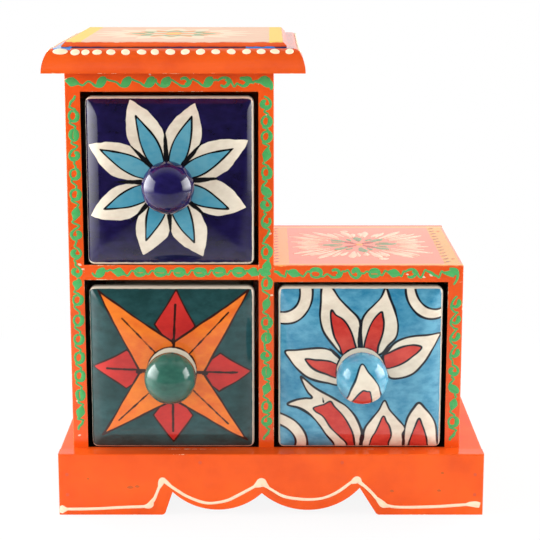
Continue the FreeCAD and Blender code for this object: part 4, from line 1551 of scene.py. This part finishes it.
def painted_strokes(name, strokes, matrix, material, height=ENAMEL_HEIGHT):
    """A raised piece made of brush strokes, each a list of (along, across, half-width) in mm."""
    data = bpy.data.curves.new(name + "_lines", "CURVE")
    data.dimensions = "3D"
    data.bevel_depth = 1.0
    data.bevel_resolution = 1
    data.use_fill_caps = True
    for stroke in strokes:
        line = smooth_line(stroke)
        spline = data.splines.new("POLY")
        spline.points.add(len(line) - 1)
        for point, (along, across, half_width) in zip(spline.points, line):
            point.co = (along, across, 0.0, 1.0)
            point.radius = max(half_width, THINNEST)
    tool = in_scene(name + "_lines", data)
    bpy.context.view_layer.update()
    swept = bpy.data.meshes.new_from_object(tool.evaluated_get(bpy.context.evaluated_depsgraph_get()))
    bm = bmesh.new()
    bm.from_mesh(swept)
    bpy.data.objects.remove(tool)
    bpy.data.curves.remove(data)
    bpy.data.meshes.remove(swept)
    for vertex in bm.verts:
        vertex.co.z = height * math.tanh(vertex.co.z * STROKE_CROWN / height)
    bmesh.ops.transform(bm, matrix=matrix, space=Matrix.Identity(4), verts=bm.verts)
    return set_piece(mesh_from(name, bm), material, "root", STROKE_SOFTNESS)


VINE_GREEN = enamel("vine_green", colour(62, 180, 104), colour(84, 164, 84))
APRON_CREAM = enamel("cream_enamel", colour(250, 232, 204), colour(240, 206, 168))
DOT_WHITE = enamel("white_enamel", colour(255, 244, 218), colour(252, 226, 180))
print("enamels ready")

# %% [markdown]
# A vine runs along every front edge of the case. It is a chain of a few motifs, each with a letter: rings,
# leaves, curls, waves, fans and a bare stem. Each motif knows where its stem comes in and goes out, and
# thin S-shaped stems join one to the next. Each board says which motifs it has and where they stand along
# it, in mm, and a seeded chance makes every one a little different.

# %% Vines
MOTIFS = {
    "E": {  # a ring with one thick side
        "in": (-2.1, 0.3), "out": (1.9, -0.9),
        "strokes": [
            [(-2.1, 0.2, 0.45), (-1.5, 1.3, 0.75), (0.0, 1.75, 0.95), (1.6, 1.2, 0.9), (2.2, -0.1, 0.65),
             (1.6, -1.3, 0.5), (0.1, -1.75, 0.5), (-1.5, -1.2, 0.5), (-2.1, 0.0, 0.45)],
        ],
    },
    "O": {  # a ring with two thick sides
        "in": (-2.4, 0.4), "out": (2.4, -0.4),
        "strokes": [
            [(-2.4, 0.3, 0.4), (-1.4, 0.9, 0.95), (0.1, 1.1, 1.2), (1.5, 0.8, 0.95), (2.4, -0.2, 0.4)],
            [(-2.4, 0.0, 0.4), (-1.3, -1.0, 0.75), (0.1, -1.25, 0.85), (1.4, -0.9, 0.7), (2.4, -0.3, 0.4)],
        ],
    },
    "L": {  # a solid leaf
        "in": (-2.7, 0.7), "out": (2.7, -0.8),
        "strokes": [
            [(-2.7, 0.6, 0.4), (-1.5, 0.5, 1.2), (0.0, 0.1, 1.85), (1.4, -0.3, 1.25), (2.7, -0.8, 0.4)],
        ],
    },
    "S": {  # a curl
        "in": (-2.6, 0.9), "out": (2.6, 0.4),
        "strokes": [
            [(-2.6, 0.9, 0.4), (-1.6, -0.8, 0.5), (0.1, -1.8, 0.6), (1.8, -1.1, 0.55), (2.6, 0.4, 0.4)],
            [(1.2, -1.3, 0.5), (1.5, 0.4, 0.85), (0.5, 1.5, 1.1), (-0.7, 1.1, 0.85), (-0.8, 0.1, 0.5)],
        ],
    },
    "C": {  # a leaf on the rise of a wave
        "in": (-2.9, -0.2), "out": (2.9, 1.1),
        "strokes": [
            [(-2.9, -0.2, 0.4), (-1.6, -1.4, 0.5), (0.2, -1.6, 0.7), (1.7, -0.9, 0.6), (2.9, 1.1, 0.4)],
            [(-0.9, -1.3, 0.6), (0.2, -0.3, 1.35), (1.0, 0.7, 1.4), (1.8, 1.5, 0.9), (2.8, 1.6, 0.35)],
        ],
    },
    "W": {  # a wave with a hook over it
        "in": (-2.9, -0.6), "out": (2.9, 1.3),
        "strokes": [
            [(-2.9, -0.6, 0.4), (-1.6, -1.5, 0.5), (0.2, -1.7, 0.6), (1.8, -0.9, 0.5), (2.9, 1.3, 0.4)],
            [(-1.8, 1.2, 0.45), (-0.3, 1.7, 0.6), (1.0, 1.0, 0.7), (1.4, -0.3, 0.8), (0.3, -1.2, 0.8)],
        ],
    },
    "A": {  # a leaf with a short branch
        "in": (-3.0, -1.0), "out": (2.8, -0.2),
        "strokes": [
            [(-2.6, 1.6, 0.5), (-1.0, 1.5, 0.9), (0.9, 0.9, 1.3), (2.0, 0.2, 0.9), (2.9, -0.1, 0.45)],
            [(-3.0, -1.0, 0.4), (-1.2, -1.6, 0.5), (0.2, -0.9, 0.9), (1.0, 0.3, 0.9)],
        ],
    },
    "F": {  # a fan of two leaves
        "in": (-4.2, 0.2), "out": (2.6, -2.2),
        "strokes": [
            [(-4.2, 0.2, 0.5), (-2.6, 0.3, 0.9), (-0.8, 0.6, 1.6), (0.8, 0.8, 1.7), (2.2, 1.3, 0.5)],
            [(-1.8, 0.2, 0.9), (0.2, -0.2, 1.6), (1.6, -0.8, 1.5), (2.4, -2.0, 0.9), (2.2, -3.2, 0.4)],
        ],
    },
    "H": {  # a leaf under a long hook
        "in": (-3.2, 0.4), "out": (1.0, -4.6),
        "strokes": [
            [(-3.2, 0.4, 0.4), (-1.6, 0.1, 0.9), (0.2, 0.0, 1.6), (1.4, -0.1, 1.5), (1.9, -0.6, 0.8)],
            [(-0.8, 1.9, 0.5), (1.2, 1.8, 0.6), (2.3, 0.8, 0.6), (2.4, -1.4, 0.55), (1.7, -3.4, 0.45),
             (0.9, -4.8, 0.35)],
        ],
    },
    "N": {  # a shallow wave with a thin curl
        "in": (-3.3, 0.7), "out": (3.4, -0.5),
        "strokes": [
            [(-3.3, 0.7, 0.38), (-1.7, -0.7, 0.42), (0.2, -1.6, 0.5), (2.0, -1.6, 0.48), (3.4, -0.5, 0.38)],
            [(-2.0, 1.3, 0.45), (-0.6, 1.5, 0.95), (0.7, 1.0, 0.95), (1.4, -0.1, 0.6), (0.7, -1.2, 0.5)],
        ],
    },
    "T": {  # a bare stem
        "in": (-2.0, 1.0), "out": (2.0, -1.1),
        "strokes": [[(-2.0, 1.0, 0.45), (-0.6, 0.5, 0.6), (0.7, -0.7, 0.55), (2.0, -1.1, 0.42)]],
    },
}

MOTIF_SIZE = 1.1
LEAN_EITHER_WAY = "SW"
LEAN_CHANCE = 0.4
SIZES = (0.95, 1.08)
FULLNESS = (1.02, 1.26)
OFF_PLACE = 0.12
JOINT_HALF = 0.4
STEM_HALF = 0.46
STEM_SWAY = 0.5
LEAST_GAP = 0.5


def put_down(point, at, side, size, chance):
    """A point of a motif on the board, a little off its drawn place and a little fuller than drawn."""
    along, across, half_width = point
    return (
        at + along * size + chance.uniform(-OFF_PLACE, OFF_PLACE),
        MOTIF_SIZE * side * across + chance.uniform(-OFF_PLACE, OFF_PLACE),
        half_width * chance.uniform(*FULLNESS),
    )


def stem(start, end):
    """An S-shaped stem from the end of one motif to the start of the next."""
    gap = end[0] - start[0]
    sway = min(STEM_SWAY, 0.2 * gap)
    return [
        start, (start[0] + 0.3 * gap, start[1] - sway, STEM_HALF),
        (start[0] + 0.7 * gap, end[1] + sway, STEM_HALF), end,
    ]


def vine(kinds, places, seed):
    """All the strokes of one vine. Some motifs lean either way, as chance has it."""
    chance = random.Random(seed)
    strokes = []
    last_out = None
    for kind, at in zip(kinds, places):
        motif = MOTIFS[kind]
        side = -1 if kind in LEAN_EITHER_WAY and chance.random() < LEAN_CHANCE else 1
        size = MOTIF_SIZE * chance.uniform(*SIZES)
        for stroke in motif["strokes"]:
            strokes.append([put_down(point, at, side, size, chance) for point in stroke])
        comes_in = put_down((*motif["in"], JOINT_HALF), at, side, size, chance)
        if last_out and comes_in[0] - last_out[0] > LEAST_GAP:
            strokes.append(stem(last_out, comes_in))
        last_out = put_down((*motif["out"], JOINT_HALF), at, side, size, chance)
    return strokes


STRIP = left_side[1].x - left_side[0].x
UPRIGHT_SEED = 7
LEVEL_VINES = {
    "vine_under_lid": (
        (top_board[0].z + top_board[1].z) / 2 - 0.2 * MM, "LCCCCWCWAF",
        [3.6, 15.7, 27.0, 37.6, 44.8, 54.3, 63.8, 72.3, 81.6, 90.2],
    ),
    "vine_shelf": (
        (shelf[0].z + shelf[1].z) / 2, "CLOOOOOOLL",
        [13.6, 22.8, 32.7, 42.1, 50.8, 60.3, 69.1, 78.0, 84.6, 89.8],
    ),
    "vine_step": (
        (step_low.z + step_high.z) / 2, "TLEWSOLWTH",
        [96.5, 103.5, 113.4, 122.8, 131.6, 140.5, 149.3, 157.6, 167.0, 175.8],
    ),
}
UPRIGHT_VINES = {
    "vine_left": (
        case_left + STRIP / 2 + 0.2 * MM, "TEOSEELSSSLEEEEEOLT",
        [13.0, 19.9, 28.6, 37.6, 46.3, 55.6, 64.6, 74.1, 82.8, 91.4, 97.6, 104.9, 114.6, 123.6, 132.4, 141.2,
         150.6, 158.8, 165.2],
    ),
    "vine_divider": (
        right_side[1].x - STRIP / 2, "SEELECSWTELELEOSOLEST",
        [14.2, 22.2, 29.2, 37.6, 45.7, 53.4, 60.4, 68.6, 75.4, 82.3, 89.6, 97.0, 107.0, 115.6, 123.0, 131.4,
         139.4, 147.4, 156.0, 163.0, 170.0],
    ),
    "vine_right": (
        low_side[1].x - STRIP / 2 + 0.1 * MM, "NNNNSCLET",
        [106.8, 114.6, 122.6, 130.4, 138.6, 146.6, 155.0, 163.4, 170.6],
    ),
}
for seed, (name, (z, kinds, places)) in enumerate(LEVEL_VINES.items()):
    matrix = lay((case_left, case_front, z), RIGHT, UP, TO_FRONT)
    painted_strokes(name, vine(kinds, places, seed), matrix, VINE_GREEN)
for seed, (name, (x, kinds, places)) in enumerate(UPRIGHT_VINES.items(), UPRIGHT_SEED):
    matrix = lay((x, case_front, top_board[1].z), DOWN, RIGHT, TO_FRONT)
    painted_strokes(name, vine(kinds, places, seed), matrix, VINE_GREEN)
print("vines:", len(LEVEL_VINES) + len(UPRIGHT_VINES))

# %% [markdown]
# The paint has come off in flecks, mostly where boards meet. Each fleck is a thin island of bare primer.

# %% Bare flecks
# For each fleck: its place from the lower left corner of the case front, and its half-length.
FLECKS = [
    (5.0, 117.2, 0.9), (6.2, 115.0, 0.7), (1.0, 202.0, 0.9), (3.4, 109.0, 0.5), (38.6, 204.2, 0.5),
    (38.8, 201.4, 0.45), (92.4, 131.6, 0.8), (93.2, 102.8, 0.7), (91.0, 186.0, 0.6), (163.0, 111.4, 0.9),
    (166.4, 112.2, 0.8), (155.6, 112.6, 0.6), (176.8, 57.0, 0.6), (2.4, 52.0, 0.6), (3.0, 35.4, 0.7),
    (4.4, 43.0, 0.5), (90.6, 60.0, 0.5),
]
PRIMER_ENAMEL = enamel("bare_primer", colour(240, 222, 198), colour(228, 186, 150))
on_case = lay((case_left, case_front, 0.0), RIGHT, UP, TO_FRONT)
chance = random.Random(21)
flecks = []
for x, z, size in FLECKS:
    rise = size * chance.uniform(-0.6, 0.6)
    flecks.append([(x - size, z - rise, 0.15), (x, z, 0.2 + 0.34 * size), (x + size, z + rise, 0.15)])
painted_strokes("bare_flecks", flecks, on_case, PRIMER_ENAMEL, height=0.08)
print("flecks:", len(flecks))

# %% [markdown]
# A cream line follows the scallops of the plinth, with a blob of paint at each turn where the brush paused.
# It is drawn in mm from a middle of its own, so the left side of the case is at a named place of that
# drawing.

# %% Apron line
APRON_LINES = [
    [(-95.5, 2.8), (-87.0, 2.8), (-78.7, 3.0), (-68.0, 3.6), (-57.8, 4.0), (-54.7, 4.4)],
    [(-54.7, 4.4), (-52.6, 7.2), (-51.0, 11.0), (-49.8, 14.1), (-48.6, 17.0)],
    [(-48.6, 17.0), (-42.6, 12.6), (-37.2, 9.1), (-30.4, 6.3), (-25.6, 5.7), (-18.7, 6.9), (-13.3, 9.5),
     (-6.4, 13.4), (-2.5, 15.6)],
    [(-2.5, 15.6), (2.4, 12.3), (7.9, 9.1), (14.7, 7.8), (20.9, 7.5), (27.1, 8.4), (33.2, 11.2), (39.4, 15.9),
     (42.0, 17.5)],
    [(42.0, 17.5), (48.2, 11.7), (51.8, 7.6), (54.9, 4.8)],
    [(54.9, 4.8), (62.1, 3.7), (79.2, 4.0), (88.0, 4.6), (96.3, 5.1), (98.6, 4.6)],
]
APRON_BLOBS = [
    [(-96.6, 2.9, 1.4), (-95.3, 2.7, 2.0), (-93.8, 2.7, 1.1), (-92.6, 2.8, 0.5)],
    [(-57.6, 4.0, 0.5), (-55.6, 4.2, 1.2), (-54.2, 4.9, 1.5), (-53.4, 6.6, 0.9), (-52.4, 8.2, 0.5)],
    [(-49.9, 13.2, 0.6), (-49.2, 15.4, 1.3), (-48.5, 17.0, 1.3), (-47.0, 16.3, 1.0), (-44.6, 14.4, 0.5)],
    [(-5.8, 13.8, 0.6), (-3.8, 14.9, 1.7), (-2.2, 15.8, 2.2), (-0.6, 14.7, 1.3), (0.9, 13.4, 0.6)],
    [(39.3, 15.6, 0.6), (41.0, 16.6, 1.5), (42.4, 17.2, 1.6), (43.6, 15.8, 1.0), (45.0, 14.2, 0.5)],
    [(51.2, 8.4, 0.6), (53.0, 6.4, 1.3), (54.6, 4.9, 1.5), (56.6, 4.3, 0.8), (58.4, 4.1, 0.5)],
    [(92.4, 4.8, 0.5), (94.8, 5.2, 1.1), (97.6, 5.1, 1.5), (99.6, 4.7, 1.3)],
]
CASE_LEFT_DRAWN = -90.75
on_apron = lay((case_left - CASE_LEFT_DRAWN * MM, plinth_low.y, 0.0), RIGHT, UP, TO_FRONT)
chance = random.Random(3)
lines = [[(x, z, 0.6 + 0.14 * chance.random()) for x, z in line] for line in APRON_LINES]
painted_strokes("apron_line", lines + APRON_BLOBS, on_apron, APRON_CREAM)
print("apron line:", len(lines), "lines and", len(APRON_BLOBS), "blobs")

# %% [markdown]
# A few small darker marks sit on the paint of the apron.

# %% Dark marks on the apron
# For each mark: its place in the apron's drawing, and its half-length.
APRON_DARK_MARKS = [
    (-63.4, 13.4, 1.5), (-60.2, 13.8, 1.1), (58.4, 11.6, 0.9), (80.4, 11.8, 0.9), (81.8, 20.4, 0.7),
    (-83.0, 17.6, 0.6),
]
APRON_MARK_BROWN = enamel("apron_mark_brown", colour(214, 96, 30), colour(176, 76, 26))
dark_marks = [
    [(x - size, z, 0.2), (x, z + 0.1, 0.3 + 0.3 * size), (x + size, z - 0.1, 0.2)] for x, z, size in APRON_DARK_MARKS
]
painted_strokes("apron_dark_marks", dark_marks, on_apron, APRON_MARK_BROWN, height=0.05)
print("knots:", len(dark_marks))

# %% [markdown]
# White dots sit on the curve of the lid's edge, one dab of a round brush each. A dab is a flattened ball,
# laid on the slope where the curve faces halfway up.

# %% Lid dots
DOT_PLACES = [
    -84.6, -80.1, -75.0, -68.7, -62.0, -55.2, -49.3, -42.3, -35.8, -29.0, -22.5, -15.3, -8.5, -2.4, 3.8, 10.2,
]
FIRST_DOT_TURN = 57
LAST_DOT_TURN = 49
DOT_LENGTHS = (3.7, 4.4)
FRONT_DOT_WIDTHS = (2.6, 3.1)
SIDE_DOT_WIDTHS = (2.4, 2.9)
DOT_HEIGHT = 0.55
SIDE_DOT_STEP = 7.4 * MM
SIDE_DOTS_FROM = 9.5 * MM
SIDE_DOTS_END = 7.0 * MM
SLOPE_IN = 2.7 * MM
SLOPE_DOWN = 4.1 * MM
CORNER_DOT_IN = 8.6 * MM
EDGE_RUN = 5.4
EDGE_TOP = 3.4


def dab(bm, place, outwards, along, length, width):
    """One flattened ball of paint on a slope."""
    outwards = Vector(outwards).normalized()
    along = Vector(along)
    made = bmesh.ops.create_uvsphere(bm, u_segments=16, v_segments=8, radius=1.0)["verts"]
    bmesh.ops.scale(bm, vec=(length / 2, width / 2, DOT_HEIGHT), verts=made)
    turn = lay(place, along, outwards.cross(along), outwards)
    bmesh.ops.transform(bm, matrix=turn, space=Matrix.Identity(4), verts=made)


def front_dots(bm, chance):
    """The dabs along the front of the lid, on the upper arc of its edge."""
    drawn_length = DOT_PLACES[-1] - DOT_PLACES[0]
    for at in DOT_PLACES:
        share = (at - DOT_PLACES[0]) / drawn_length
        turn = math.radians(FIRST_DOT_TURN + (LAST_DOT_TURN - FIRST_DOT_TURN) * share)
        place = (
            case_left + (at - CASE_LEFT_DRAWN + chance.uniform(-0.2, 0.2)) * MM,
            lid_low.y + (EDGE_RUN - EDGE_TOP * math.sin(turn)) * MM,
            LEDGE_Z - (1 - math.cos(turn)) * EDGE_TOP * MM,
        )
        tilt = Vector((1.0, 0.0, chance.uniform(-0.12, 0.12))).normalized()
        outwards = (0.0, -math.sin(turn), math.cos(turn))
        dab(bm, place, outwards, tilt, chance.uniform(*DOT_LENGTHS), chance.uniform(*FRONT_DOT_WIDTHS))


def lid_dots():
    """The dabs along the front and the two sides of the lid, and a long one at the corner."""
    chance = random.Random(5)
    bm = bmesh.new()
    front_dots(bm, chance)
    slope_z = lid_high.z - SLOPE_DOWN
    corner = (lid_low.x + CORNER_DOT_IN, lid_low.y + SLOPE_IN, slope_z)
    dab(bm, corner, (0, -1, 0.8), RIGHT, length=6.8, width=3.2)
    for x, outwards in ((lid_low.x + SLOPE_IN, (-1, 0, 1)), (lid_high.x - SLOPE_IN, (1, 0, 1))):
        y = lid_low.y + SIDE_DOTS_FROM
        while y < lid_high.y - SIDE_DOTS_END:
            size = chance.uniform(*DOT_LENGTHS), chance.uniform(*SIDE_DOT_WIDTHS)
            dab(bm, (x, y, slope_z), outwards, TO_BACK, *size)
            y += SIDE_DOT_STEP * chance.uniform(0.92, 1.08)
    return set_piece(mesh_from("lid_dots", bm), DOT_WHITE, "root")


print("lid dots:", len(lid_dots().data.polygons), "faces")

# %% [markdown]
# The step's top carries a radiating flower: a yellow eye, four red petals, green leaves round them and long
# cream rays, with a cream dab before and behind.

# %% Step flower
STEP_FLOWER = (135.9, 49.2)
flower_place = (case_left + STEP_FLOWER[0] * MM, case_front + STEP_FLOWER[1] * MM, step_high.z)
on_step = lay(flower_place, RIGHT, TO_BACK, UP)
RED_ENAMEL = enamel("red_enamel", colour(190, 84, 56), colour(164, 66, 44))
LEAF_ENAMEL = enamel("leaf_enamel", colour(140, 172, 116), colour(116, 150, 104))
YELLOW_ENAMEL = enamel("yellow_enamel", colour(252, 190, 90), colour(244, 170, 70))

RAY_COUNT = 16
RAY_SHAPE = ((0.0, 0.3), (0.35, 0.7), (0.7, 1.0), (1.0, 0.35))
RAY_UNSTEADY = 2.0
# For each set of rays: its angle from the first, inner and outer reach, half-width and lean.
RAY_SETS = [(0.0, 18.0, 33.0, 1.9, 2.0), (-7.0, 20.0, 28.0, 1.4, -2.0), (7.0, 20.0, 30.0, 1.2, 2.0)]
# For each ring: how many there are, the first angle, inner and outer reach, half-width and lean.
LONG_LEAVES = (8, 0.0, 8.0, 18.5, 2.3, 4.0)
SHORT_LEAVES = (8, 22.5, 9.0, 15.0, 1.3, -4.0)
RED_PETALS = (4, 45.0, 2.6, 9.5, 1.9, 0.0)
PAINT_ON_STEP = 0.12


def ray(angle, inner, outer, half_width, lean, chance, squarely=False):
    """A radial stroke, thickest in its outer third and a little curved. Squarely set, it fills a square."""
    angle += chance.uniform(-RAY_UNSTEADY, RAY_UNSTEADY)
    if squarely:
        outer /= max(abs(math.cos(math.radians(angle))), abs(math.sin(math.radians(angle))))
    stroke = []
    for share, swell in RAY_SHAPE:
        reach = inner + (outer - inner) * share
        stroke.append((*around((0, 0), angle + lean * share, reach), half_width * swell))
    return stroke


def ring_of(count, first_angle, inner, outer, half_width, lean, chance):
    """Rays set evenly all round."""
    angles = [first_angle + 360 / count * index for index in range(count)]
    return [ray(angle, inner, outer, half_width, lean, chance) for angle in angles]


chance = random.Random(11)
rays = []
for index in range(RAY_COUNT):
    for aside, *shape in RAY_SETS:
        angle = 360 / RAY_COUNT * (index + 0.5) + aside
        rays.append(ray(angle, *shape, chance, squarely=True))
leaves = ring_of(*LONG_LEAVES, chance) + ring_of(*SHORT_LEAVES, chance)
reds = ring_of(*RED_PETALS, chance)
eye = [(-1.6, 0, 1.2), (0, 0, 2.6), (1.6, 0, 1.2)]
dabs = [
    [(-8.0, 34.0, 0.8), (-5.8, 34.4, 2.0), (-3.8, 34.0, 0.9)],
    [(7.6, -34.6, 0.9), (9.8, -35.0, 2.3), (12.0, -34.6, 0.9)],
]
painted_strokes("step_flower_rays", rays + dabs, on_step, APRON_CREAM, PAINT_ON_STEP)
painted_strokes("step_flower_leaves", leaves, on_step, LEAF_ENAMEL, PAINT_ON_STEP)
painted_strokes("step_flower_petals", reds, on_step, RED_ENAMEL, height=0.14)
painted_strokes("step_flower_eye", [eye], on_step, YELLOW_ENAMEL, height=0.16)
print("step flower painted")

# %% [markdown]
# Small red ticks run down the ochre bands of the step, one short stroke each. Their rows are placed from the
# middle of the flower, as the rays are.

# %% Ticks on the step's bands
TICK_ROWS = (-40.9, 38.6)
TICKS_FROM = -42.0
TICK_STEP = 7.0
TICK_COUNT = 13
TICK = [(-1.4, -1.0, 0.3), (0.0, 0.0, 0.75), (1.5, 1.2, 0.3)]
ticks = []
for x in TICK_ROWS:
    for index in range(TICK_COUNT):
        y = TICKS_FROM + TICK_STEP * index
        ticks.append([(x + along, y + across, half_width) for along, across, half_width in TICK])
painted_strokes("step_band_ticks", ticks, on_step, RED_ENAMEL, height=0.1)
print("ticks:", len(ticks))
